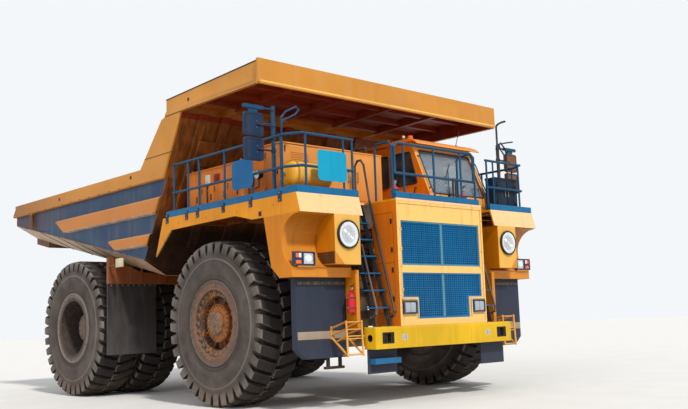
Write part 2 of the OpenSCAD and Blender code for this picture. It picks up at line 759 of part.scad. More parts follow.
// Outline of the cab in X and Z, pulled in by t
sill_z = deck_z + 240;
function cab_outline(t) = [[cab_back + t, deck_z + seat + t], [cab_back + t, cab_top - 80 - t],
                           [cab_brow - t, cab_top - 80 - t], [cab_foot - t, sill_z],
                           [cab_foot - t, deck_z + seat + t]];
// Windows: lower and upper edge; x of the side panes, with the slant of the front one
pane_z = [deck_z + 545, cab_top - 265];
side_pane_x = [330, 960, 1030, 1560];
pane_slant = 175;
screen_z = [deck_z + 320, cab_top - 240];
door_x0 = 720;
door_x1 = 1420;
door_z0 = deck_z + 70;
door_z1 = cab_top - 200;
door_pane_z = [deck_z + 540, cab_top - 300];

// Side panes, pulled in by g
function rear_pane(g) = [[side_pane_x[0] + g, pane_z[0] + g], [side_pane_x[0] + g, pane_z[1] - g],
                         [side_pane_x[1] - g, pane_z[1] - g], [side_pane_x[1] - g, pane_z[0] + g]];
function front_pane(g) = [[side_pane_x[2] + g, pane_z[0] + g], [side_pane_x[2] + g, pane_z[1] - g],
                          [side_pane_x[3] - 2 * g, pane_z[1] - g],
                          [side_pane_x[3] + pane_slant - 2 * g, pane_z[0] + g]];

module cab_shell() {
    color(ORANGE) on_frame() difference() {
        across(cab_outline(0), cab_right, cab_left);
        across(cab_outline(cab_t), cab_right + cab_t, cab_left - cab_t);
        // windscreen
        across([[cab_foot - 200, screen_z[0]], [cab_foot + 200, screen_z[0]], [cab_foot + 100, screen_z[1]],
                [cab_brow - 300, screen_z[1]]], cab_right + 130, cab_left - 130);
        across(rear_pane(0), cab_right - 1, cab_right + cab_t + 1);
        across(front_pane(0), cab_right - 1, cab_right + cab_t + 1);
        // rear window
        block([cab_back - 1, cab_right + 300, deck_z + 610], [cab_back + cab_t + 1, cab_left - 300, cab_top - 300]);
        // left rear window
        block([300, cab_left - cab_t - 1, door_pane_z[0]], [620, cab_left + 1, door_pane_z[1]]);
        // doorway
        block([door_x0, cab_left - cab_t - 1, door_z0], [door_x1, cab_left + 1, door_z1]);
    }
    color(ORANGE) on_frame() for (z = HINGES) door_hinge(z, 1);
}

// One half of a door hinge: the barrel and its leaf, on the wall (side 1) or the door (side -1)
HINGES = [deck_z + 260, cab_top - 400];
hinge_h = 60;
module door_hinge(z, side) {
    low = side == 1 ? z : z + hinge_h + seat;
    upright([door_x1, cab_left + 25, low], 18, hinge_h);
    translate([side == 1 ? door_x1 : door_x1 - 60, cab_left - 5, low]) cube([60, 25, hinge_h]);
}

// Roof with a drooping visor, and a beacon on it
module cab_roof() {
    low = cab_top - 80 + seat;
    color(ORANGE) on_frame() {
        across([[cab_back - 60, low], [cab_back - 60, cab_top - 25], [cab_back + 60, cab_top],
                [cab_brow, cab_top], [cab_brow + 150, cab_top - 60], [cab_brow + 230, cab_top - 130],
                [cab_brow + 215, cab_top - 145], [cab_brow + 110, low]], cab_right - 60, cab_left + 60);
        upright([cab_brow - 150, cab_right + 150, cab_top - 5], 55, 100);
    }
}

module cab_glass() {
    glass = 10;
    slant = (cab_foot - cab_brow) / (cab_top - 80 - sill_z);
    function pane_x(z) = cab_foot - (z - sill_z) * slant - cab_t / 2;
    low = screen_z[0] + seat;
    high = screen_z[1] - seat;
    color(GLASS) on_frame() {
        across([[pane_x(low) - 20, low], [pane_x(low), low], [pane_x(high), high],
                [pane_x(high) - 20, high]], cab_right + 130 + seat, cab_left - 130 - seat);
        across(rear_pane(seat), cab_right + 25, cab_right + 25 + glass);
        across(front_pane(seat), cab_right + 25, cab_right + 25 + glass);
        block([300 + seat, cab_left - 35, door_pane_z[0] + seat], [620 - seat, cab_left - 25, door_pane_z[1] - seat]);
        block([cab_back + 25, cab_right + 300 + seat, deck_z + 610 + seat],
              [cab_back + 25 + glass, cab_left - 300 - seat, cab_top - 300 - seat]);
    }
}

module cab_seat() {
    mid = (cab_right + cab_left) / 2;
    color(DARK) on_frame() {
        block([700, mid - 250, deck_z + cab_t + 2 * seat], [1200, mid + 250, deck_z + 520]);
        block([600, mid - 250, deck_z + 520], [750, mid + 250, deck_z + 1060]);
    }
}

module cab_door() {
    gap = 8;
    color(ORANGE) on_frame() {
        for (z = HINGES) door_hinge(z, -1);
        difference() {
            block([door_x0 + gap, cab_left - cab_t, door_z0 + gap], [door_x1 - gap, cab_left, door_z1 - gap]);
            block([door_x0 + 120, cab_left - cab_t - 1, door_pane_z[0]],
                  [door_x1 - 120, cab_left + 1, door_pane_z[1]]);
        }
    }
}

module door_glass() {
    color(GLASS) on_frame()
        block([door_x0 + 120 + seat, cab_left - 35, door_pane_z[0] + seat],
              [door_x1 - 120 - seat, cab_left - 25, door_pane_z[1] - seat]);
}

// Puts a section that runs along the floor into the truck: x forward, z square to the floor
module on_floor() translate([-edge_x, 0, edge_z]) rotate([0, floor_slope, 0]) children();
// Half the length of a section that is cut to the body's length later
run = 6900;

// Everything between the front wall's plane and the tail
module body_length() across([[-tail_x, 1000], [-tail_x, rail_z - 240], [-tail_x + 130, rail_z - 90],
                             [-tail_x + 130, 7000], [front_at(7000), 7000], [front_at(1000), 1000]],
                            -4000, 4000);

// Depth of the floor edge, square to the floor
deep = chine_h * cos(floor_slope);

// Cross-section of the load space above the floor plate, pulled in by g
function inside_section(g) = let (w = wall_y - wall_t - g)
    [[-w, 9000], [-w, g + 12], [-wall_y + 70 + g, g], [-floor_y + 20, -deep + floor_t + g],
     [floor_y - 20, -deep + floor_t + g], [wall_y - 70 - g, g], [w, g + 12], [w, 9000]];

module body_floor() {
    ear_in = rail_out + 40;
    tail_run = (tail_x - edge_x) / cos(floor_slope);
    rear = rear_axle_x - 1000;
    color(ORANGE) on_frame() {
        intersection() {
            on_floor() {
                along([[-wall_y, 0], [-floor_y, -deep], [floor_y, -deep], [wall_y, 0],
                       [wall_y - 70, 0], [floor_y - 20, -deep + floor_t],
                       [-floor_y + 20, -deep + floor_t], [-wall_y + 70, 0]], -run, run);
                // bolster under the tail
                block([-tail_run - 200, -floor_y - 40, -deep - 130], [-tail_run + 820, floor_y + 40, -deep + 30]);
            }
            body_length();
        }
        both_sides() {
            across([[-2500, under_at(-2500) + 5], [-2500, rail_at(-2500) + seat],
                    [rear, rail_at(rear) + seat], [rear, under_at(rear) + 5]], rail_in, rail_out);
            difference() {
                union() {
                    across([[-pivot_x + 450, under_at(-pivot_x + 450) + 5], [-pivot_x + 160, pivot_z],
                            [-pivot_x - 160, pivot_z], [-pivot_x - 500, under_at(-pivot_x - 500) + 5]],
                           ear_in, ear_in + 120);
                    shaft(-pivot_x, pivot_z, 160, ear_in, ear_in + 120);
                }
                shaft(-pivot_x, pivot_z, pivot_r + run_gap, ear_in - 1, ear_in + 121);
            }
            for (y = [hoist_y - rod_r - 60, hoist_y + rod_r + 20]) difference() {
                across([[-hoist_x - 150, under_at(-hoist_x - 150) + 5],
                        [-hoist_x + 150, under_at(-hoist_x + 150) + 5],
                        [-hoist_x + 80, hoist_high - 90], [-hoist_x - 80, hoist_high - 90]],
                       y, y + 40);
                shaft(-hoist_x, hoist_high, hoist_pin_r, y - 1, y + 41);
            }
        }
    }
}

// Side ribs: top and bottom over the reference edge, rear end ahead of the rear axle at both
RIBS = [[935, 585, -1162, -620], [235, -25, 1442, 1851]];

// Rib that narrows towards its outer face
module side_rib(rib) intersection() {
    top = edge_z + rib[0];
    low = edge_z + rib[1];
    across([[rear_axle_x + rib[2], top], [3000, top], [3000, low], [rear_axle_x + rib[3], low]],
           wall_y - 10, body_y);
    along([[wall_y - 10, low], [body_y, low + 25], [body_y, top - 50], [wall_y - 10, top]], -9500, 3001);
}

module body_side() {
    // gusset between the side rail and the canopy: foot, shoulder, top
    gusset = [[-2383, rail_z], [-1550, canopy_z - 37], [-1413, canopy_z - seat]];
    post_x = rear_axle_x - 2550;
    intersection() {
        union() {
            // wall plate from the lower edge to the rail
            intersection() {
                on_floor() translate([-run, wall_y - wall_t, 0]) cube([2 * run, wall_t, 4000]);
                across(concat([[-tail_x - 10, 1000], [-tail_x - 10, rail_z]], gusset,
                              [[3000, canopy_z - seat], [3000, 1000]]), wall_y - wall_t, wall_y);
            }
            // top rail and front gusset
            across(concat([[-tail_x - 10, rail_z - siderail_h], [-tail_x - 10, rail_z]], gusset,
                          [[3000, canopy_z - seat], [3000, rail_z - siderail_h]]), wall_y, body_y);
            // post between the lower edge and the rail near the tail
            across([[post_x - 90, edge_at(post_x - 90) + 10], [post_x - 90, rail_z - siderail_h + 1],
                    [post_x + 90, rail_z - siderail_h + 1], [post_x + 90, edge_at(post_x + 90) + 10]],
                   wall_y - 1, body_y - 20);
            for (rib = RIBS) side_rib(rib);
        }
        body_length();
    }
}

module body_side_left() { color(ORANGE) on_frame() body_side(); }
module body_side_right() { color(ORANGE) on_frame() mirror([0, 1, 0]) body_side(); }

// Slab that leans with the front wall, from z0 to z1, between two distances from its outer face
module leaning(z0, z1, back, front, y0, y1)
    across([[front_at(z0) + back, z0], [front_at(z0) + front, z0], [front_at(z1) + front, z1],
            [front_at(z1) + back, z1]], y0, y1);

module body_front_wall() {
    beam_z = [canopy_z - 930, canopy_z - 490];
    color(ORANGE) on_frame() {
        intersection() {
            leaning(2000, canopy_z - seat, -70, 0, -4000, 4000);
            on_floor() along(inside_section(seat), -run, run);
        }
        // ribs and cross beam on the outer face
        for (y = [-2190, -1400, -600, 600, 1400, 2190])
            leaning(3050, canopy_z - seat, -20, 85, y - 100, y + 100);
        for (y = [-2710, 2710]) leaning(3150, canopy_z - seat, -20, 60, y - 90, y + 90);
        leaning(beam_z[0], beam_z[1], -20, 110, -2700, 2700);
    }
}

// Canopy: roof plate, front and rear skirts, side skirts with a flared lip, beams under the plate
module body_canopy() {
    plate = 60;
    rear = -1413;
    lip = 40;
    side = body_y - lip;
    function under(x) = canopy_top - 190 + 80 * (x - rear - plate) / (canopy_x - rear - 2 * plate);
    color(ORANGE) on_frame() {
        across([[rear, canopy_z], [rear, canopy_top - 105], [canopy_x, canopy_top - 20],
                [canopy_x, canopy_z], [canopy_x - plate, canopy_z],
                [canopy_x - plate, canopy_top - 110], [rear + plate, canopy_top - 190],
                [rear + plate, canopy_z]], -side, side);
        both_sides()
            along([[side - plate, canopy_z + 100], [side - plate, canopy_top - 106],
                   [side, canopy_top - 106], [side, canopy_z + 120], [body_y, canopy_z + 30],
                   [body_y, canopy_z], [side - 20, canopy_z]], rear, canopy_x - 20);
        block([canopy_x - plate, -body_y, canopy_z + 20], [canopy_x, body_y, canopy_top]);
        for (y = [-1950, -650, 650, 1950])
            across([[rear + 5, under(rear + 5) + 5], [canopy_x - 5, under(canopy_x - 5) + 5],
                    [canopy_x - 5, under(canopy_x - 5) - 130], [rear + 5, under(rear + 5) - 130]],
                   y - 50, y + 50);
        for (x = [-700, 0, 700])
            block([x - 50, -side + 5, under(x) - 95], [x + 50, side - 5, under(x) + 20]);
    }
}

// Hoist on the left side: outer barrel, first stage and rod, all upright with the body down
stage_r = 130;
rod_r = 90;
stage_low = hoist_low + 150;
barrel_top = hoist_high - 170;

module hoist_barrel() {
    difference() {
        union() {
            upright([-hoist_x, hoist_y, hoist_low + 90], barrel_r, barrel_top - hoist_low - 90);
            shaft(-hoist_x, hoist_low, 110, hoist_y - 80, hoist_y + 80);
        }
        shaft(-hoist_x, hoist_low, hoist_pin_r + run_gap, hoist_y - 200, hoist_y + 200);
        upright([-hoist_x, hoist_y, stage_low - 5], stage_r + run_gap, 3000);
    }
}

module hoist_stage() {
    translate([-hoist_x, hoist_y, stage_low]) difference() {
        cylinder(r = stage_r, h = barrel_top + 30 - stage_low);
        translate([0, 0, 30]) cylinder(r = rod_r + run_gap, h = 3000);
    }
}

module hoist_rod() {
    difference() {
        union() {
            upright([-hoist_x, hoist_y, stage_low + 35], rod_r, hoist_high - 60 - stage_low - 35);
            shaft(-hoist_x, hoist_high, 90, hoist_y - 50, hoist_y + 50);
        }
        shaft(-hoist_x, hoist_high, hoist_pin_r, hoist_y - 51, hoist_y + 51);
    }
}

module hoist_barrel_right() { color(DARK) on_frame() on_side(RIGHT) hoist_barrel(); }
module hoist_barrel_left() { color(DARK) on_frame() on_side(LEFT) hoist_barrel(); }
module hoist_stage_right() { color(STEEL) on_frame() on_side(RIGHT) hoist_stage(); }
module hoist_stage_left() { color(STEEL) on_frame() on_side(LEFT) hoist_stage(); }
module hoist_rod_right() { color(STEEL) on_frame() on_side(RIGHT) hoist_rod(); }
module hoist_rod_left() { color(STEEL) on_frame() on_side(LEFT) hoist_rod(); }

// Steering knuckle on the left side
tie_pin_r = 30;
arm_z = tyre_r - 315;
module knuckle() {
    ear_r = 180;
    plate_y = kingpin_y + 220;
    difference() {
        union() {
            for (z = [arm_z, tyre_r + 215]) {
                upright([0, kingpin_y, z], ear_r, 100);
                block([-ear_r, kingpin_y, z], [ear_r, plate_y + 10, z + 100]);
            }
            block([-260, plate_y, tyre_r - 405], [260, plate_y + 70, tyre_r + 405]);
            // steering arm
            block([-steer_arm, kingpin_y - 70, arm_z], [-100, kingpin_y + 70, arm_z + 60]);
            upright([-steer_arm, kingpin_y, arm_z], 80, 60);
        }
        upright([0, kingpin_y, tyre_r - 485], kingpin_r + run_gap, 1000);
    }
    upright([-steer_arm, kingpin_y, arm_z - 140], tie_pin_r, 141);
    shaft(0, tyre_r, 260, plate_y + 60, plate_y + 130);
    shaft(0, tyre_r, spindle_r, plate_y + 60, front_tyre_y + 180);
}

module knuckle_right() { color(STEEL) on_frame() on_side(RIGHT) knuckle(); }
module knuckle_left() { color(STEEL) on_frame() on_side(LEFT) knuckle(); }

module tie_rod() {
    color(STEEL) on_frame() difference() {
        union() {
            shaft(-steer_arm, arm_z - 80, 38, -kingpin_y + 60, kingpin_y - 60);
            both_sides() upright([-steer_arm, kingpin_y, arm_z - 125], 72, 90);
        }
        both_sides() upright([-steer_arm, kingpin_y, arm_z - 170], tie_pin_r + run_gap, 200);
    }
}

// Tyre outline: radius, distance from its middle
function tyre_outline() = let (h = tyre_w / 2, f = h - 52)
    [[bead_r + seat, -f], [flange_r, -f], [flange_r + 60, -h + 16], [1000, -h], [1250, -h],
     [shoulder_r, -h], [tyre_r, -h + 150], [tyre_r, h - 150], [shoulder_r, h], [1250, h],
     [1000, h], [flange_r + 60, h - 16], [flange_r, f], [bead_r + seat, f]];

// Groove across the left half of the tread, at the top of the tyre: it runs out over the shoulder
module groove() {
    h = tyre_w / 2;
    low = tyre_r - lug_depth;
    start = 40;
    notch = 160;
    intersection() {
        along([[start, low], [h - 120, low], [h + 1, low - notch], [h + 60, low - notch],
               [h + 60, tyre_r + 60], [start, tyre_r + 60]], -300, 300);
        translate([0, 0, 1000]) linear_extrude(700)
            polygon([[(lug_lean - groove_w) / 2, 0], [(-lug_lean - groove_w) / 2, h + 70],
                     [(-lug_lean + groove_w) / 2, h + 70], [(lug_lean + groove_w) / 2, 0]]);
    }
}

// Tyre with its middle at y; the lugs of its two halves are set half a pitch apart
module tyre(y) translate([0, y, tyre_r]) difference() {
    turned(tyre_outline());
    for (i = [0 : lugs - 1]) {
        rotate([0, i * 360 / lugs, 0]) groove();
        rotate([0, (i + 0.5) * 360 / lugs, 0]) mirror([0, 1, 0]) groove();
    }
}

// Rim barrel with its two flanges, about the tyre's middle
function rim_ring() = let (f = tyre_w / 2 - 50)
    [[bead_r - 50, -f - 30], [flange_r, -f - 30], [flange_r, -f - 2 + seat],
     [bead_r, -f - 2 + seat], [bead_r, f + 2 - seat], [flange_r, f + 2 - seat],
     [flange_r, f + 30], [bead_r - 50, f + 30]];

// Front rim on a dished disc with a ring of wedge clamps round the hub
module front_rim(side) {
    on_side(side) translate([0, front_tyre_y, tyre_r]) difference() {
        union() {
            turned(rim_ring());
            turned([[0, -190], [330, -190], [330, 60], [bead_r - 40, 120], [bead_r - 40, 200],
                    [300, 240], [300, 330], [210, 350], [210, 390], [0, 390]]);
            for (i = [0 : 15]) rotate([0, i * 22.5, 0])
                translate([bead_r - 130, 180, -32]) cube([72, 72, 64]);
        }
        turned([[0, -191], [spindle_r + run_gap, -191], [spindle_r + run_gap, 190], [0, 190]]);
    }
}

// Twin rear rims on one hub, whose outer disc has a ring of hand holes
module rear_rims(side) {
    face = 2760;
    on_side(side) translate([rear_axle_x, 0, tyre_r]) difference() {
        union() {
            for (y = [outer_tyre_y, inner_tyre_y]) translate([0, y, 0]) turned(rim_ring());
            turned([[0, 1480], [bead_r - 40, 1480], [bead_r - 40, face], [470, face],
                    [430, face + 100], [0, face + 100]]);
        }
        turned([[0, 1400], [rear_spindle_r + run_gap, 1400], [rear_spindle_r + run_gap, 2605], [0, 2605]]);
        for (i = [0 : 11]) rotate([0, i * 30, 0]) shaft(540, 0, 38, face - 60, face + 1);
    }
}

module front_tyre_right() { color(RUBBER) on_frame() tyre(-front_tyre_y); }
module front_tyre_left() { color(RUBBER) on_frame() tyre(front_tyre_y); }
module front_rim_right() { color(RUST) on_frame() front_rim(RIGHT); }
module front_rim_left() { color(RUST) on_frame() front_rim(LEFT); }

module rear_tyres(side) {
    for (y = [outer_tyre_y, inner_tyre_y]) translate([rear_axle_x, 0, 0]) tyre(side * y);
}

module rear_tyres_right() { color(RUBBER) on_frame() rear_tyres(RIGHT); }
module rear_tyres_left() { color(RUBBER) on_frame() rear_tyres(LEFT); }
module rear_rims_right() { color(RUST) on_frame() rear_rims(RIGHT); }
module rear_rims_left() { color(RUST) on_frame() rear_rims(LEFT); }

frame_rails();
front_axle();
rear_axle();
suspension_struts();
engine_block();
radiator_housing();
radiator_grilles();
bumper();
lamps();
front_fenders();
side_decks();
center_deck();
railings();
ladders();
lattice_steps();
mudflaps();
rear_guards();
side_tanks();
cabinets();
air_tank();
mirrors();
extinguishers();
cab_shell();
cab_roof();
cab_glass();
cab_seat();
cab_door();
door_glass();
body_floor();
body_side_right();
body_side_left();
body_front_wall();
body_canopy();
hoist_barrel_right();
hoist_barrel_left();
hoist_stage_right();
hoist_stage_left();
hoist_rod_right();
hoist_rod_left();
knuckle_right();
knuckle_left();
tie_rod();
front_tyre_right();
front_tyre_left();
front_rim_right();
front_rim_left();
rear_tyres_right();
rear_tyres_left();
rear_rims_right();
rear_rims_left();
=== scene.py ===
"""Dressed model of a rigid mining dump truck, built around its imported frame. Metres, +X forward, +Z up."""
import json
from math import cos, pi, radians, sin

import bmesh
import bpy
from mathutils import Matrix, Vector


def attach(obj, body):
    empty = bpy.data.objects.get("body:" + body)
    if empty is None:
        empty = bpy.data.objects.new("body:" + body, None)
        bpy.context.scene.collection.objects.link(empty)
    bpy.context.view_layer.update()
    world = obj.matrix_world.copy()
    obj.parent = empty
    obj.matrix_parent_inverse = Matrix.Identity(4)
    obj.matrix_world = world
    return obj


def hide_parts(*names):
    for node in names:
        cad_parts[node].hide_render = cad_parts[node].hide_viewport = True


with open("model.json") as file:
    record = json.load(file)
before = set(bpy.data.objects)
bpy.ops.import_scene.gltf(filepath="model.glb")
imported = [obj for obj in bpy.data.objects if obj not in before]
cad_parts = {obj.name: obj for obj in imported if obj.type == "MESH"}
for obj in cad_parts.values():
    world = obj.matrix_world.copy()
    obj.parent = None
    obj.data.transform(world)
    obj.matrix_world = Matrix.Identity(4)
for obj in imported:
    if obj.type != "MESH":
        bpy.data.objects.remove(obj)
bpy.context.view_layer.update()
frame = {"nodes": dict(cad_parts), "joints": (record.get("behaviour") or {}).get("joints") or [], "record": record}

bl_info = {
    "name": "Mining Dump Truck",
    "version": (1, 0, 0),
    "blender": (4, 5, 0),
    "location": "View3D > Sidebar > Dump Truck",
    "description": "Builds the visible pieces and finishes of a mining dump truck around its frame",
    "category": "Object",
}

SIDES = {"right": -1, "left": 1}


def joint_at(name):
    """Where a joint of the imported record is, in metres."""
    return Vector(next(j["pos_m"] for j in frame["joints"] if j["name"] == name))


FRONT_WHEEL = joint_at("wheel_front_left")
REAR_WHEEL = joint_at("wheel_rear_left")
AXLE_X = FRONT_WHEEL.x
TYRE_R = FRONT_WHEEL.z
# Pieces are drawn with x from the front axle; a piece moves into the frame when it is placed
REAR_X = REAR_WHEEL.x - AXLE_X
OUTER_REAR_Y, INNER_REAR_Y = 2.854, 1.815
X, Y, Z = Vector((1, 0, 0)), Vector((0, 1, 0)), Vector((0, 0, 1))
# An edge whose faces meet at more than this stays sharp
SHARP_ANGLE = radians(35.0)


def sum_of(operation, swapped=False):
    """A method of Sock that adds a Math node."""
    def method(self, other):
        return self.maths(operation, *((other, self) if swapped else (self, other)))
    return method


class Sock:
    """A shader socket that takes part in sums and products as a number does."""

    def __init__(self, shade, socket):
        self.shade = shade
        self.socket = socket

    def maths(self, operation, *values):
        return self.shade.node("ShaderNodeMath", {"operation": operation}, dict(enumerate(values)))

    __add__, __radd__ = sum_of("ADD"), sum_of("ADD", swapped=True)
    __sub__, __rsub__ = sum_of("SUBTRACT"), sum_of("SUBTRACT", swapped=True)
    __mul__, __rmul__ = sum_of("MULTIPLY"), sum_of("MULTIPLY", swapped=True)
    __gt__, __lt__ = sum_of("GREATER_THAN"), sum_of("LESS_THAN")

    def fit(self, low, high):
        """0 at low, 1 at high and clamped between; low may be the larger."""
        return self.shade.node("ShaderNodeMapRange", {"clamp": True}, {0: self, 1: low, 2: high})

    def root(self):
        return self.maths("SQRT", self)

    def size(self):
        return self.maths("ABSOLUTE", self)


class Shade:
    """A material in the making: its nodes, and the Principled shader that they feed."""

    def __init__(self, name):
        self.material = bpy.data.materials.new(name)
        self.material.use_nodes = True
        self.tree = self.material.node_tree
        self.tree.nodes.clear()
        self.points = self.node("ShaderNodeTexCoord", output="Object")
        self.x, self.y, self.z = self.split(self.points)

    def node(self, kind, settings=None, values=None, output=0):
        made = self.tree.nodes.new(kind)
        for name, value in (settings or {}).items():
            if name == "stops":
                ramp = made.color_ramp
                while len(ramp.elements) < len(value):
                    ramp.elements.new(1.0)
                for element, (place, colour) in zip(ramp.elements, value):
                    element.position = place
                    element.color = (*colour, 1.0)
            else:
                setattr(made, name, value)
        for key, value in (values or {}).items():
            if isinstance(value, Sock):
                self.tree.links.new(value.socket, made.inputs[key])
            else:
                made.inputs[key].default_value = value
        return Sock(self, made.outputs[output])

    def split(self, vector):
        made = self.node("ShaderNodeSeparateXYZ", None, {0: vector})
        outputs = made.socket.node.outputs
        return [Sock(self, outputs[i]) for i in range(3)]

    def noise(self, scale, detail=3.0, roughness=0.55, stretch=(1.0, 1.0, 1.0)):
        """Noise from 0 to 1 with features about 1 / scale metres wide, drawn out along an axis by stretch."""
        place = self.node("ShaderNodeVectorMath", {"operation": "MULTIPLY"},
                          {0: self.points, 1: tuple(1.0 / s for s in stretch)})
        return self.node("ShaderNodeTexNoise", None,
                         {"Vector": place, "Scale": scale, "Detail": detail, "Roughness": roughness})

    def facing(self):
        """The three parts of the surface's own normal."""
        return self.split(self.node("ShaderNodeNewGeometry", output="Normal"))

    def mix(self, factor, first, second):
        """First where factor is 0 and second where it is 1; each is a colour or a socket."""
        def colour(value):
            return value if isinstance(value, Sock) else (*value[:3], 1.0)
        return self.node("ShaderNodeMix", {"data_type": "RGBA"},
                         {0: factor, 6: colour(first), 7: colour(second)}, output=2)

    def from_axle(self, hub):
        """Distance from the axle of a wheel, which lies across the truck."""
        ahead = self.x - hub.x
        above = self.z - hub.z
        return (ahead * ahead + above * above).root()

    def bump(self, height, distance):
        return self.node("ShaderNodeBump", None, {"Height": height, "Distance": distance})

    def finish(self, **sockets):
        names = {key.replace("_", " "): value for key, value in sockets.items()}
        if "Base Color" in names and not isinstance(names["Base Color"], Sock):
            names["Base Color"] = (*names["Base Color"], 1.0)
        shader = self.node("ShaderNodeBsdfPrincipled", None, names)
        out = self.tree.nodes.new("ShaderNodeOutputMaterial")
        self.tree.links.new(shader.socket, out.inputs["Surface"])
        return self.material


def srgb(red, green, blue):
    """A colour given as it shows on screen, 0 to 255, made linear."""
    def linear(value):
        value /= 255
        return value / 12.92 if value <= 0.04045 else ((value + 0.055) / 1.055) ** 2.4
    return (linear(red), linear(green), linear(blue))


def toned(colour, share):
    """A linear colour made darker or lighter by a share."""
    return tuple(min(1.0, part * share) for part in colour)


DUST = srgb(176, 150, 118)
RUST = srgb(120, 62, 30)
# near black for soot, and for painted shade under things
SOOT_AND_SHADE = srgb(38, 30, 24)
# Specular level of weathered paint and rubber, which mirror less than a clean surface
WEATHERED = 0.25


def paint(name, colour, dust, rust, front_highlight=0.0, pale=srgb(242, 200, 118), holes=()):
    """Weathered machine paint: patches, runs, dust, rust blooms, soot with painted shade on faces that look down and,
    on front faces, a painted pale highlight.

    A painted hole is a black field of painted shade, standing for a recess, between the two corners of a box, with x
    from the front axle and y on both sides.
    """
    shade = Shade(name)
    across, _, up = shade.facing()
    patches = shade.noise(0.9, 4.0)
    grain = shade.noise(28.0, 3.0, 0.65)
    runs = shade.noise(7.0, 3.0, 0.6, stretch=(1.0, 1.0, 9.0))
    tone = shade.mix((patches * 0.6 + runs * 0.4).fit(0.38, 0.66), toned(colour, 0.78), toned(colour, 1.06))
    # painted highlight: faces that look forward turn pale, where the light from the front falls
    if front_highlight:
        tone = shade.mix(across.fit(0.3, 0.9) * front_highlight, tone, pale)
    settled = up.fit(0.35, 0.95) * 0.7 + shade.z.fit(3.4, 0.9) * 0.35 + runs.fit(0.5, 0.72) * 0.3
    dusty = (settled * dust * (0.5 + grain)).fit(0.0, 0.75)
    tone = shade.mix(dusty, tone, DUST)
    blooms = (shade.noise(6.0, 5.0, 0.7) * 0.6 + shade.noise(26.0, 4.0, 0.7) * 0.4).fit(0.70 - 0.14 * rust, 0.80)
    tone = shade.mix(blooms * 0.5, tone, RUST)
    # soot in the runs, and painted shade on faces that look down
    soot = runs.fit(0.58, 0.8) * 0.3 * (1.0 - dusty) + up.fit(-0.2, -0.9) * 0.4
    tone = shade.mix(soot, tone, SOOT_AND_SHADE)
    # black fields of painted shade, where a recess is shown
    for low, high in holes:
        field = 1.0
        for spot, start, end in zip((shade.x - AXLE_X, shade.y.size(), shade.z), low, high):
            field = (spot > start) * (spot < end) * field
        tone = shade.mix(field, tone, srgb(26, 20, 18))
    rough = 0.45 + dusty * 0.45 + blooms * 0.3
    dents = shade.bump(grain * 0.25 + shade.noise(4.0, 2.0), 0.004)
    return shade.finish(Base_Color=tone, Roughness=rough.fit(0.0, 1.0), Normal=dents, Specular_IOR_Level=WEATHERED)


def plain_metal(name, colour, metallic, rough, dust):
    """Bare or plated metal with wiping marks and a film of dust."""
    shade = Shade(name)
    marks = shade.noise(35.0, 3.0, 0.6, stretch=(1.0, 1.0, 3.0))
    film = (shade.noise(2.5, 4.0) * dust * 2.0).fit(0.0, 1.0)
    tone = shade.mix(film, shade.mix(marks.fit(0.3, 0.7), toned(colour, 0.8), colour), DUST)
    return shade.finish(Base_Color=tone, Metallic=metallic * (1.0 - film), Roughness=rough + film * 0.5,
                        Normal=shade.bump(marks, 0.0008))


def sheet_rubber(name, colour, dust):
    """Heavy rubber sheet, scuffed, with dust that thickens towards its lower edge."""
    shade = Shade(name)
    scuffs = shade.noise(6.0, 5.0, 0.65, stretch=(1.0, 1.0, 4.0))
    grain = shade.noise(60.0, 2.0)
    film = (shade.z.fit(2.0, 0.7) * 0.6 + scuffs.fit(0.45, 0.75) * 0.6) * dust
    tone = shade.mix(film.fit(0.0, 1.0), shade.mix(grain, colour, toned(colour, 1.7)), srgb(104, 100, 100))
    return shade.finish(Base_Color=tone, Roughness=0.7 + film * 0.25,
                        Normal=shade.bump(scuffs * 0.8 + grain * 0.2, 0.004))


def tyre_rubber(name, hub, middle_y):
    """Dusty tyre rubber: grooves darkened as painted shade, treads darkened as clean rubber and painted shade, pale
    lug sides and rings of dust about the hub.

    The sides of the lugs are told from the grooves by their distance from middle_y, the outer tyre's middle.
    """
    shade = Shade(name)
    radius = shade.from_axle(hub)
    patches = shade.noise(2.2, 5.0, 0.6)
    grain = shade.noise(70.0, 3.0, 0.6)
    rings = shade.node("ShaderNodeMath", {"operation": "SINE"}, {0: radius * 240.0})
    lug_side = shade.y.size() > middle_y + 0.434
    # painted shade in the grooves between the lugs
    groove = radius.fit(1.445, 1.385) * radius.fit(1.25, 1.36) * (1.0 - lug_side)
    along = shade.facing()[1]
    wall = shade.mix(patches.fit(0.35, 0.7), srgb(70, 61, 57), srgb(100, 91, 86))
    face = shade.mix(radius.fit(1.26, 1.40) * patches.fit(0.2, 0.7), wall, srgb(124, 117, 111))
    # tread faces darker: the clean rubber's own tone, and painted shade
    face = shade.mix(along.size().fit(0.42, 0.25) * (radius > 1.2) * 0.93, face, srgb(38, 32, 30))
    tone = shade.mix(groove * 0.75, face, srgb(22, 19, 17))
    low = shade.z.fit(0.5, 0.0) * patches.fit(0.3, 0.7)
    tone = shade.mix(low * 0.5, tone, srgb(130, 108, 88))
    tone = shade.mix(radius.fit(0.90, 0.80) * 0.6, tone, srgb(66, 54, 44))
    ring = radius.fit(1.135, 1.145) * radius.fit(1.175, 1.165)
    tone = shade.mix(ring * 0.35, tone, srgb(150, 141, 130))
    return shade.finish(Base_Color=tone, Roughness=0.9 + patches * 0.1, Specular_IOR_Level=WEATHERED,
                        Normal=shade.bump(grain * 0.35 + patches * 0.5 + rings * 0.03, 0.006))


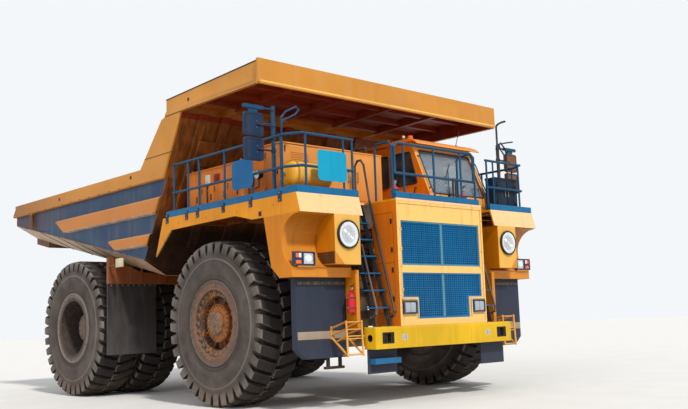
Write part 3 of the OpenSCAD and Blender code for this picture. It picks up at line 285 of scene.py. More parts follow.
def wheel_iron(name, hub, zones, scale_rust, clamps_y=None):
    """Worn iron of rims and hubs; zones are stops of radius in metres and colour, from the hub outwards.

    The clamps of the front rims are paler, from clamps_y outwards.
    """
    shade = Shade(name)
    radius = shade.from_axle(hub)
    scale = shade.noise(5.0, 6.0, 0.7)
    fine = shade.noise(36.0, 4.0, 0.7)
    wander = radius + (scale - 0.5) * 0.12
    tone = shade.node("ShaderNodeValToRGB", {"stops": zones}, {"Fac": wander})
    patches = (fine * 0.4 + scale * 0.6).fit(0.47, 0.64) * scale_rust * radius.fit(0.72, 0.60)
    tone = shade.mix(patches, tone, srgb(206, 122, 34))
    tone = shade.mix(shade.noise(11.0, 4.0, 0.7).fit(0.52, 0.66) * 0.6, tone, srgb(52, 42, 38))
    tone = shade.mix(fine.fit(0.52, 0.75) * 0.22, tone, DUST)
    if clamps_y:
        clamps = (radius > 0.51) * (radius < 0.635) * (shade.y.size() > clamps_y)
        tone = shade.mix(clamps * 0.8, tone, srgb(116, 92, 80))
    return shade.finish(Base_Color=tone, Roughness=0.6 + fine * 0.35, Metallic=0.1,
                        Normal=shade.bump(fine * 0.5 + scale * 0.5, 0.005))


def clear_glass(name, tint_and_reflection, alpha):
    shade = Shade(name)
    film = shade.noise(3.0, 5.0, 0.6).fit(0.45, 0.8) * 0.35
    # dark glass on the side windows; pale on the windscreen, as a painted reflection of the sky
    tone = shade.mix(film, tint_and_reflection, DUST)
    return shade.finish(Base_Color=tone, Roughness=0.06 + film * 0.5, Alpha=alpha + film * 0.4)


def bright(name, colour, rough):
    """A clean lens or plastic with only a light film on it."""
    shade = Shade(name)
    film = shade.noise(9.0, 4.0).fit(0.45, 0.8) * 0.3
    return shade.finish(Base_Color=shade.mix(film, colour, DUST), Roughness=rough + film * 0.4)


def load_body_paint(name, colour, recess):
    """The dump body's paint: dusty orange on rails and ribs, dark blue on the sunk side panels, and painted shade
    under the canopy, on the front wall and at the tail.
    """
    shade = Shade(name)
    _, along, up = shade.facing()
    patches = shade.noise(0.8, 5.0, 0.6)
    grain = shade.noise(24.0, 4.0, 0.65)
    runs = shade.noise(6.0, 3.0, 0.6, stretch=(1.0, 1.0, 8.0))
    ahead, depth, height = shade.x - AXLE_X, shade.y.size(), shade.z
    # distance ahead of the front wall's outer face, which leans forwards
    ahead_of_wall = ahead + 2.36 - (height - 2.777) * 0.5507
    side_face = along.size().fit(0.4, 0.6)
    orange = shade.mix((patches * 0.7 + runs * 0.3).fit(0.36, 0.66), toned(colour, 0.80), colour)
    orange = shade.mix(side_face * height.fit(4.7, 3.7) * 0.6, orange, srgb(190, 110, 56))
    blue = shade.mix(patches.fit(0.35, 0.7), recess, srgb(52, 78, 104))
    sunk = (depth > 3.12) * (depth < 3.17) * side_face * (height < 4.4)
    tone = shade.mix(sunk, orange, blue)
    # under the canopy and on the front wall's outer face, painted shade turns the paint dark red-brown, darkest under
    # the roof
    under = (ahead_of_wall > -0.03) * (height > 2.5) * (depth < 3.19) * (ahead < 1.60) * up.fit(0.6, 0.3)
    shaded_brown = shade.mix(runs.fit(0.4, 0.7), srgb(84, 34, 8), srgb(146, 78, 28))
    tone = shade.mix(under * 0.85, tone, shaded_brown)
    roof_shade = (under * (height > 5.42)).fit(0.0, 1.0)
    tone = shade.mix(roof_shade * 0.9, tone, srgb(124, 32, 0))
    # painted shadow, near black, low on the front wall behind the deck and above the tyres
    tone = shade.mix(under * height.fit(3.75, 3.35) * 0.9, tone, srgb(20, 13, 10))
    # the tail is darker: the rail's end and last post darken towards the back, and the bolster under the floor has
    # painted shade
    tone = shade.mix(ahead.fit(-5.2, -8.9) * (height > 3.9) * 0.55, tone, srgb(96, 58, 38))
    tail = (ahead < -7.7) * (height < 4.3) * ((depth < 2.62) + (depth > 3.15) * (ahead < -7.755)).fit(0.0, 1.0)
    tone = shade.mix(tail * (up < 0.6) * 0.8, tone, srgb(54, 34, 26))
    # the slanting floor edge is grey with dust
    chine = up.fit(-0.15, -0.5) * (height < 4.2) * (depth > 2.4) * (ahead_of_wall < -0.06)
    tone = shade.mix(chine * 0.8, tone, shade.mix(runs.fit(0.4, 0.7), srgb(164, 142, 124), srgb(212, 186, 160)))
    settled = up.fit(0.3, 0.9) * 0.7 + runs.fit(0.48, 0.75) * 0.3
    dusty = (settled * (0.35 + grain * 0.9)).fit(0.0, 1.1) * (1.0 - (under + tail).fit(0.0, 1.0) * 0.85)
    tone = shade.mix(dusty, tone, srgb(158, 134, 112))
    # inside, where the load slides, more paint is scraped off
    inside = (depth < 3.095) * (ahead_of_wall < -0.05) * (1.0 - chine)
    scraped = shade.noise(7.0, 5.0, 0.7).fit(0.60, 0.74)
    tone = shade.mix(scraped * (0.22 + inside * 0.4), tone, RUST)
    return shade.finish(Base_Color=tone, Roughness=0.5 + dusty * 0.4, Specular_IOR_Level=WEATHERED,
                        Normal=shade.bump(grain * 0.3 + shade.noise(2.6, 3.0), 0.006))


def join(whole, part):
    """Adds a finished bmesh part to a whole."""
    loose = bpy.data.meshes.new("part")
    part.to_mesh(loose)
    part.free()
    whole.from_mesh(loose)
    bpy.data.meshes.remove(loose)


def new_object(name, data):
    made = bpy.data.objects.new(name, data)
    bpy.context.scene.collection.objects.link(made)
    return made


def mesh_object(name, part, materials):
    """Makes an object of a finished bmesh."""
    data = bpy.data.meshes.new(name)
    part.to_mesh(data)
    part.free()
    for material in materials:
        data.materials.append(material)
    return new_object(name, data)


def round_edges(part, edges, offset, segments=2):
    bmesh.ops.bevel(part, geom=edges, offset=offset, offset_type="OFFSET", segments=segments, profile=0.5,
                    affect="EDGES", material=-1)


def drawn_on(part, face):
    """Extrudes a face in place and returns the new end face, which is then moved."""
    grown = bmesh.ops.extrude_face_region(part, geom=[face])["geom"]
    return next(g for g in grown if isinstance(g, bmesh.types.BMFace))


def mirror_image(part):
    """Turns a bmesh into its mirror image over the centre line."""
    bmesh.ops.scale(part, vec=(1, -1, 1), verts=part.verts)
    bmesh.ops.reverse_faces(part, faces=part.faces)
    return part


def turn_to(line):
    """The turn that brings upright onto a line."""
    return Z.rotation_difference(line).to_matrix().to_4x4()


def point(axis, level, a, b):
    """A point at a level along axis 0, 1 or 2; a and b are along the two other axes, in their order."""
    spot = [a, b]
    spot.insert(axis, level)
    return Vector(spot)


class Piece:
    """A mesh in the making, with the materials that its faces use."""

    def __init__(self, name):
        self.name = name
        self.mesh = bmesh.new()
        self.materials = []

    def index(self, material):
        if material not in self.materials:
            self.materials.append(material)
        return self.materials.index(material)

    def take(self, part, material):
        """Adds a finished bmesh part to the piece, in the material of that name."""
        slot = self.index(material)
        bmesh.ops.recalc_face_normals(part, faces=part.faces)
        for face in part.faces:
            face.material_index = slot
        join(self.mesh, part)

    def box(self, low, high, material, bevel=0.0):
        """A box between two corners, with its edges rounded by bevel."""
        low, high = Vector(low), Vector(high)
        self.slab((low + high) / 2, high - low, material, bevel)

    def boxes(self, count, step, low, high, material, bevel=0.0):
        """A row of like boxes: the first lies between two corners, and each next one is moved on by step."""
        low, high, step = Vector(low), Vector(high), Vector(step)
        for i in range(count):
            self.box(low + i * step, high + i * step, material, bevel)

    def slab(self, centre, size, material, bevel=0.0, turn=None):
        """A box of a size about its centre, turned about it."""
        part = bmesh.new()
        bmesh.ops.create_cube(part, size=1.0)
        bmesh.ops.scale(part, vec=size, verts=part.verts)
        if bevel:
            round_edges(part, part.edges[:], bevel)
        if turn is not None:
            bmesh.ops.transform(part, matrix=turn.to_4x4(), verts=part.verts)
        bmesh.ops.translate(part, vec=centre, verts=part.verts)
        self.take(part, material)

    def prism(self, outline, axis, low, high, material, bevel=0.0):
        """An outline in the two other axes, in their order, extruded from low to high along axis."""
        part = bmesh.new()
        face = part.faces.new([part.verts.new(point(axis, low, a, b)) for a, b in outline])
        bmesh.ops.translate(part, vec=point(axis, high - low, 0, 0), verts=drawn_on(part, face).verts[:])
        if bevel:
            round_edges(part, part.edges[:], bevel)
        self.take(part, material)

    def rod(self, start, end, radius, material, sides=12, end_radius=None, bevel=0.0):
        """A round bar or cone from one point to another."""
        part = bmesh.new()
        start, end = Vector(start), Vector(end)
        line = end - start
        bmesh.ops.create_cone(part, cap_ends=True, segments=sides, radius1=radius,
                              radius2=radius if end_radius is None else end_radius, depth=line.length)
        if bevel:
            round_edges(part, [e for e in part.edges if any(len(f.verts) > 4 for f in e.link_faces)], bevel)
        bmesh.ops.transform(part, matrix=Matrix.Translation((start + end) / 2) @ turn_to(line), verts=part.verts)
        self.take(part, material)

    def bolts(self, spots, axis, radius, height, material="steel"):
        """Hexagon heads at spots, standing up along axis."""
        for spot in spots:
            self.rod(spot, Vector(spot) + Vector(axis) * height, radius, material, sides=6)

    def pin(self, foot, length, radius, material="dark_metal", sides=8):
        """An upright hinge pin."""
        self.rod(foot, Vector(foot) + length * Z, radius, material, sides)

    def bead(self, start, end, radius, material="seam"):
        """A straight weld bead."""
        self.tube([start, end], radius, material, sides=6)

    def ball(self, centre, radius, material, stretch=(1, 1, 1), rings=10):
        part = bmesh.new()
        bmesh.ops.create_uvsphere(part, u_segments=rings * 2, v_segments=rings, radius=radius)
        bmesh.ops.scale(part, vec=stretch, verts=part.verts)
        bmesh.ops.translate(part, vec=centre, verts=part.verts)
        self.take(part, material)

    def tube(self, points, radius, material, bend=0.0, sides=10):
        """A round tube through points, its corners rounded by bend; closed at both ends."""
        path = rounded(points, bend)
        part = bmesh.new()
        last = (path[1] - path[0]).normalized()
        bmesh.ops.create_circle(part, cap_ends=True, segments=sides, radius=radius,
                                matrix=Matrix.Translation(path[0]) @ turn_to(last))
        face = next(iter(part.faces))
        for i in range(1, len(path)):
            face = drawn_on(part, face)
            ahead = (path[i + 1] - path[i]).normalized() if i + 1 < len(path) else last
            cut = (last + ahead).normalized()
            for vert in face.verts:
                vert.co += last * ((path[i] - vert.co).dot(cut) / last.dot(cut))
            last = ahead
        self.take(part, material)

    def lathe(self, outline, centre, material, steps=48, axis=Y):
        """An outline of (radius, distance along axis) spun about an axis through centre."""
        part = bmesh.new()
        out = axis.orthogonal().normalized()
        verts = [part.verts.new(Vector(centre) + out * r + axis * d) for r, d in outline]
        edges = [part.edges.new(pair) for pair in zip(verts, verts[1:])]
        bmesh.ops.spin(part, geom=verts + edges, cent=centre, axis=axis, dvec=(0, 0, 0), angle=2 * pi,
                       steps=steps, use_merge=True, use_duplicate=False)
        bmesh.ops.remove_doubles(part, verts=part.verts, dist=1e-5)
        self.take(part, material)

    def band(self, centre, inner, outer, half, material, steps=48, axis=Y, slope=0.0):
        """A collar on a round bar, from its inner to its outer radius; slope is the chamfer of its rims."""
        self.lathe([(inner, -half), (outer, slope - half), (outer, half - slope), (inner, half)],
                   centre, material, steps, axis)

    def eye(self, centre, inner, outer, half, material, steps):
        """A lug with a hole through it, across the truck."""
        self.lathe([(inner, -half), (outer, -half), (outer, half), (inner, half), (inner, -half)],
                   centre, material, steps)

    def loop(self, points, radius, material, bend=0.0, sides=8):
        """A closed tube through points, which starts and ends in the middle of its first side."""
        first = (Vector(points[0]) + Vector(points[1])) / 2
        self.tube([first, *points[1:], points[0], first], radius, material, bend, sides)

    def hoop(self, axis, level, first, last, radius, material, bend, sides=8):
        """A closed tube round a rectangle that lies across axis, between two opposite corners."""
        corners = (first, (last[0], first[1]), last, (first[0], last[1]))
        self.loop([point(axis, level, *corner) for corner in corners], radius, material, bend, sides)

    def handle(self, start, end, out, radius, material, bend=0.02, sides=8):
        """A bar between two feet that stands off by out."""
        start, end, out = Vector(start), Vector(end), Vector(out)
        self.tube([start, start + out, end + out, end], radius, material, bend, sides)

    def ring_of(self, count, centre, draw, axis=Y, start=0.0):
        """Draws a small part count times, turned about an axis through centre."""
        single = Piece("single")
        draw(single)
        slots = [self.index(material) for material in single.materials]
        for face in single.mesh.faces:
            face.material_index = slots[face.material_index]
        for i in range(count):
            spun = single.mesh.copy()
            turn = Matrix.Rotation(start + i * 2 * pi / count, 4, axis)
            place = Matrix.Translation(centre) @ turn @ Matrix.Translation(-Vector(centre))
            bmesh.ops.transform(spun, matrix=place, verts=spun.verts)
            join(self.mesh, spun)
        single.mesh.free()

    def bolt_circle(self, count, centre, first, axis, radius, height, material="steel", start=0.0):
        """Hexagon heads round an axis through centre; the first stands at a distance from it."""
        spot = Vector(centre) + Vector(first)
        self.ring_of(count, centre, lambda one: one.bolts([spot], axis, radius, height, material), axis, start)

    def place(self, body, slot, *replaced):
        """Makes the object, smooth but for its sharp edges, riding on a body."""
        bmesh.ops.translate(self.mesh, vec=(AXLE_X, 0, 0), verts=self.mesh.verts)
        for face in self.mesh.faces:
            face.smooth = True
        for edge in self.mesh.edges:
            edge.smooth = len(edge.link_faces) == 2 and edge.calc_face_angle() < SHARP_ANGLE
        made = mesh_object(self.name, self.mesh, [finish_of(material) for material in self.materials])
        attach(made, body)
        if replaced:
            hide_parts(*replaced)
        return made


def rounded(points, bend, steps=4):
    """The path through points with each corner replaced by a short arc that starts bend before it."""
    path = [Vector(p) for p in points]
    if not bend:
        return path
    out = [path[0]]
    for before, here, after in zip(path, path[1:], path[2:]):
        back, on = before - here, after - here
        room = min(bend, back.length * 0.49, on.length * 0.49)
        start, end = here + back.normalized() * room, here + on.normalized() * room
        for i in range(steps + 1):
            t = i / steps
            out.append((1 - t) ** 2 * start + 2 * t * (1 - t) * here + t ** 2 * end)
    return out + [path[-1]]


def node_body(node):
    """The body that a frame node belongs to."""
    bodies = frame["record"]["behaviour"]["bodies"]
    return next(body for body, names in bodies.items() if node in names)


def slim(part, axis, centre, radius, less=0.004):
    """Draws the pins of that radius about an axis thinner, since a faceted pin would touch its faceted bore."""
    for vert in part.verts:
        off = Vector((vert.co.x - AXLE_X, abs(vert.co.y), vert.co.z)) - Vector(centre)
        off[axis] = 0.0
        if abs(off.length - radius) < 2e-5:
            off.normalize()
            side = -1 if vert.co.y < 0 else 1
            vert.co -= Vector((off.x, off.y * side, off.z)) * less


def clad(node, finish, edge=0.012, regions=(), pin=None):
    """Replaces a frame node by a copy of its own mesh with rounded edges.

    A region is a finish and the two corners of a box, with x from the front axle: the faces whose
    middle lies in the box take that finish. It counts on both sides, unless it starts at a negative y.
    A pin is an axis, a point on it and a radius, as slim takes them.
    """
    source = frame["nodes"][node].data
    part = bmesh.new()
    part.from_mesh(source)
    bmesh.ops.remove_doubles(part, verts=part.verts, dist=1e-5)
    bmesh.ops.dissolve_limit(part, angle_limit=radians(1.0), use_dissolve_boundaries=False,
                             verts=part.verts, edges=part.edges)
    if pin:
        slim(part, *pin)
    for face in part.faces:
        face.smooth = True
        face.material_index = 0
        middle = face.calc_center_median() - AXLE_X * X
        for number, (_, low, high) in enumerate(regions, 1):
            spot = Vector((middle.x, abs(middle.y) if low[1] >= 0 else middle.y, middle.z))
            if all(low[i] <= spot[i] <= high[i] for i in range(3)):
                face.material_index = number
    # only outer edges are rounded: an inner corner that filled up could touch a part that turns in it
    weight = part.edges.layers.float.new("bevel_weight_edge")
    for side in part.edges:
        side.smooth = len(side.link_faces) == 2 and side.calc_face_angle() < radians(32)
        side[weight] = float(not side.smooth and side.is_convex)
    made = mesh_object(node + "_skin", part, [finish_of(used) for used in (finish, *(r[0] for r in regions))])
    if edge:
        rim = made.modifiers.new("edge", "BEVEL")
        rim.width = edge
        rim.segments = 2
        rim.limit_method = "WEIGHT"
        rim.use_clamp_overlap = True
    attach(made, node_body(node))
    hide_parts(node)
    return made


FINISHES = {}


def finish_of(name):
    """The material of that name, made the first time that it is asked for."""
    if name not in FINISHES:
        FINISHES[name] = RECIPES[name](name)
    return FINISHES[name]


def colour_setting(name, what, default):
    return bpy.props.FloatVectorProperty(name=name, description=what, subtype="COLOR", size=3, default=default)


def length_setting(name, what, default):
    return bpy.props.FloatProperty(name=name, description=what, unit="LENGTH", default=default)


def angle_setting(name, what, degrees):
    return bpy.props.FloatProperty(name=name, description=what, subtype="ANGLE", default=radians(degrees))


class PaintColours(bpy.types.PropertyGroup):
    cab: colour_setting("Cab", "Paint of the cab", srgb(232, 120, 8))
    front: colour_setting("Front", "Paint of housing, fenders and decks", srgb(222, 114, 0))
    bumper: colour_setting("Bumper", "Paint of the bumper", srgb(222, 176, 0))
    body: colour_setting("Load body", "Paint of the dump body", srgb(208, 140, 54))
    rails: colour_setting("Rails", "Paint of railings and ladders", srgb(0, 72, 106))
    grilles: colour_setting("Grilles", "Paint of the grilles", srgb(0, 112, 172))


def paint_of(colour, *amounts, **marks):
    """Recipe of a paint; its colour is given on screen values, or names one of the paint colours."""
    def recipe(name):
        if isinstance(colour, str):
            return paint(name, tuple(getattr(bpy.context.scene.truck_paint, colour)), *amounts, **marks)
        return paint(name, srgb(*colour), *amounts, **marks)
    return recipe


def made_by(finish, colour, *amounts):
    """Recipe of another finish, with its colour given on screen values."""
    return lambda name: finish(name, srgb(*colour), *amounts)


FRONT_ZONES = [(0.17, srgb(98, 88, 83)), (0.22, srgb(112, 76, 46)), (0.30, srgb(168, 94, 24)),
               (0.36, srgb(104, 54, 20)), (0.43, srgb(38, 31, 29)), (0.52, srgb(80, 62, 53)),
               (0.60, srgb(98, 68, 50)), (0.655, srgb(116, 76, 52)), (0.70, srgb(98, 84, 77))]
REAR_ZONES = [(0.24, srgb(112, 96, 88)), (0.31, srgb(96, 80, 72)), (0.40, srgb(64, 54, 50)),
              (0.60, srgb(48, 41, 39)), (0.655, srgb(72, 63, 59)), (0.72, srgb(122, 110, 103))]

# Colour on screen or the name of a paint colour, then dust, rust, the painted highlight on front faces and its pale
# tone
PAINTS = {
    "cab_orange": ("cab", 0.18, 0.1, 0.45),
    "front_yellow": ("front", 0.12, 0.05, 0.85),
    "valance_gold": ((230, 146, 6), 0.1, 0.1, 0.95, srgb(238, 194, 142)),
    "fender_gold": ((210, 124, 0), 0.05, 0.08, 0.1),
    "lamp_box_gold": ((214, 150, 20), 0.05, 0.05, 0.4),
    "step_yellow": ((226, 150, 44), 0.2, 0.1, 0.3),
    "frame_orange": ((150, 78, 26), 0.5, 0.4),
    "guard_orange": ((128, 62, 22), 0.35, 0.5),
    "cabinet_orange": ((214, 118, 26), 0.3, 0.35, 0.25),
    "tank_yellow": ((238, 168, 22), 0.15, 0.1, 0.35),
    "rail_blue": ("rails", 0.08, 0.02),
    "board_blue": ((0, 98, 146), 0.06, 0.05),
    "grille_blue": ("grilles", 0.08, 0.0),
    "grille_bar": ((70, 138, 164), 0.15, 0.0),
    "core_blue": ((0, 72, 124), 0.05, 0.0),
    "plate_cyan": ((0, 152, 190), 0.02, 0.0),
    "plate_blue": ((0, 98, 154), 0.05, 0.0),
    "dark_box": ((0, 26, 50), 0.03, 0.0),
    "dark_blue": ((14, 44, 76), 0.15, 0.0),
    "stringer": ((38, 42, 54), 0.3, 0.1),
    "handrail": ((60, 66, 76), 0.3, 0.1),
    "black_paint": ((24, 22, 22), 0.15, 0.05),
    "vent_brown": ((112, 62, 18), 0.2, 0.3),
    "hatch_red": ((150, 26, 30), 0.2, 0.2),
    "pale_box": ((212, 204, 190), 0.3, 0.1),
    "pale_tube": ((216, 204, 168), 0.3, 0.1),
    "stripe": ((150, 138, 124), 0.6, 0.0),
    "head_brown": ((116, 76, 48), 0.4, 0.5),
    "red": ((206, 24, 44), 0.05, 0.0),
    "dark_metal": ((48, 42, 38), 0.5, 0.4),
    "grease_black": ((32, 28, 27), 0.45, 0.2),
    "seam": ((70, 44, 26), 0.25, 0.5),
    # near black for the canopy's side lip, as painted shade
    "soot": ((30, 26, 26), 0.1, 0.0),
    "lip_gold": ((240, 186, 96), 0.1, 0.1),
    "grille_line": ((30, 140, 190), 0.05, 0.0),
}
RECIPES = {name: paint_of(*amounts) for name, amounts in PAINTS.items()} | {
    # the black field round the bumper's tow pocket is painted shade
    "bumper_yellow": paint_of("bumper", 0.08, 0.05, holes=[((2.8, 1.385, 1.05), (2.9, 1.665, 1.24))]),
    "liner": made_by(plain_metal, (112, 88, 70), 0.55, 0.45, 0.5),
    "reflector": made_by(plain_metal, (225, 230, 235), 0.9, 0.12, 0.05),
    "chrome": made_by(plain_metal, (205, 210, 214), 1.0, 0.2, 0.15),
    "mirror_glass": made_by(plain_metal, (178, 190, 200), 1.0, 0.05, 0.1),
    "steel": made_by(plain_metal, (128, 122, 114), 0.8, 0.4, 0.35),
    "polished": made_by(plain_metal, (190, 192, 194), 1.0, 0.15, 0.08),
    "lamp_orange": made_by(bright, (232, 92, 24), 0.2),
    "lamp_white": made_by(bright, (222, 228, 234), 0.12),
    "lens_pale": made_by(bright, (150, 164, 178), 0.12),
    "lamp_red": made_by(bright, (190, 20, 24), 0.2),
    "instrument": made_by(bright, (30, 32, 36), 0.35),
    "flap_rubber": made_by(sheet_rubber, (30, 25, 24), 0.4),
    "panel_rubber": made_by(sheet_rubber, (18, 28, 46), 0.12),
    "gasket": made_by(sheet_rubber, (22, 22, 25), 0.15),
    "seat_cloth": made_by(sheet_rubber, (36, 38, 44), 0.1),
    "window": made_by(clear_glass, (52, 62, 70), 0.5),
    # pale windscreen glass: painted reflection of the bright sky
    "windscreen": made_by(clear_glass, (150, 168, 182), 0.35),
    "lens_glass": made_by(clear_glass, (225, 232, 238), 0.22),
    "body_orange": lambda name: load_body_paint(name, tuple(bpy.context.scene.truck_paint.body),
                                                srgb(32, 60, 94)),
    "tyre_front": lambda name: tyre_rubber(name, FRONT_WHEEL, FRONT_WHEEL.y),
    "tyre_rear": lambda name: tyre_rubber(name, REAR_WHEEL, OUTER_REAR_Y),
    "rim_front": lambda name: wheel_iron(name, FRONT_WHEEL, FRONT_ZONES, 0.8, FRONT_WHEEL.y + 0.377),
    "rim_rear": lambda name: wheel_iron(name, REAR_WHEEL, REAR_ZONES, 0.08),
}


class TyreSizes(bpy.types.PropertyGroup):
    lugs: bpy.props.IntProperty(name="Lugs", description="Lugs on each side of a tyre", default=36, min=12)
    depth: length_setting("Lug depth", "How far the lugs stand over the casing", 0.088)
    width: length_setting("Width", "Width of a tyre", 0.9)
    front_y: length_setting("Front middle", "Front tyres from the centre line", FRONT_WHEEL.y)
    outer_y: length_setting("Outer middle", "Outer rear tyres from the centre line", OUTER_REAR_Y)
    inner_y: length_setting("Inner middle", "Inner rear tyres from the centre line", INNER_REAR_Y)


def draw_tyre(piece, centre, material, sizes):
    """One tyre: its casing with rings and bead, and two staggered rows of curved lugs."""
    half = sizes.width / 2
    base = TYRE_R - sizes.depth
    wall = [(radius, out - half) for radius, out in (
        (0.652, 0.06), (0.665, 0.035), (0.775, 0.03), (0.80, 0.012), (0.84, 0.012), (0.85, 0.020), (0.90, 0.006),
        (1.02, 0.002), (1.12, 0.004), (1.125, 0.0), (1.14, 0.0), (1.145, 0.006), (1.22, 0.012), (1.30, 0.035),
        (1.36, 0.07), (base, 0.13))]
    outline = wall + [(r, -d) for r, d in reversed(wall)]
    piece.lathe(outline, centre, material, steps=72)
    # each station: distance from the middle, radius at the root, distance and radius at the
    # crown, half widths at root and crown, and how far the lug leans round the tyre
    stations = [(0.012, base - 0.02, 0.012, TYRE_R, 0.102, 0.093, 0.072),
                (0.15, base - 0.02, 0.15, TYRE_R, 0.100, 0.091, 0.046),
                (0.30, base - 0.02, 0.30, TYRE_R - 0.001, 0.096, 0.086, -0.004),
                (0.36, base - 0.03, half - 0.03, TYRE_R - 0.026, 0.092, 0.080, -0.040),
                (0.38, 1.345, half, TYRE_R - 0.05, 0.092, 0.078, -0.052),
                (0.395, 1.29, half - 0.0005, 1.355, 0.098, 0.086, -0.062),
                (0.40, 1.225, half - 0.012, 1.245, 0.112, 0.106, -0.070)]

    def lug(side):
        def draw(single):
            part = bmesh.new()
            def section(station):
                root_y, root_r, crown_y, crown_r, root_w, crown_w, lean = station
                return [centre + Vector((r * sin((t + lean) / TYRE_R), side * d, r * cos((t + lean) / TYRE_R)))
                        for t, d, r in ((-root_w, root_y, root_r), (-crown_w, crown_y, crown_r),
                                        (crown_w, crown_y, crown_r), (root_w, root_y, root_r))]
            face = part.faces.new([part.verts.new(p) for p in section(stations[0])])
            for station in stations[1:]:
                face = drawn_on(part, face)
                for vert, spot in zip(face.verts, section(station)):
                    vert.co = spot
            crown = [e for e in part.edges if all((v.co - centre).xz.length > 1.24 for v in e.verts)
                     and e.is_manifold and e.calc_face_angle() > 0.6]
            round_edges(part, crown, 0.008, segments=1)
            single.take(part, material)
        return draw

    for side, start in ((1, pi / sizes.lugs), (-1, 0.0)):
        piece.ring_of(sizes.lugs, centre, lug(side), start=start)


class TRUCK_OT_tyres(bpy.types.Operator):
    """Tyres with their lugs, one piece for each wheel or pair"""
    bl_idname = "truck.tyres"
    bl_label = "Tyres"

    def execute(self, context):
        sizes = context.scene.truck_tyres
        for word, side in SIDES.items():
            front = Piece(f"front_tyre_{word}_tread")
            draw_tyre(front, Vector((0, side * sizes.front_y, TYRE_R)), "tyre_front", sizes)
            front.place(f"wheel_front_{word}", "tyre", f"front_tyre_{word}")
            rear = Piece(f"rear_tyres_{word}_tread")
            for y in (sizes.outer_y, sizes.inner_y):
                draw_tyre(rear, Vector((REAR_X, side * y, TYRE_R)), "tyre_rear", sizes)
            rear.place(f"wheel_rear_{word}", "tyre", f"rear_tyres_{word}")
        return {"FINISHED"}


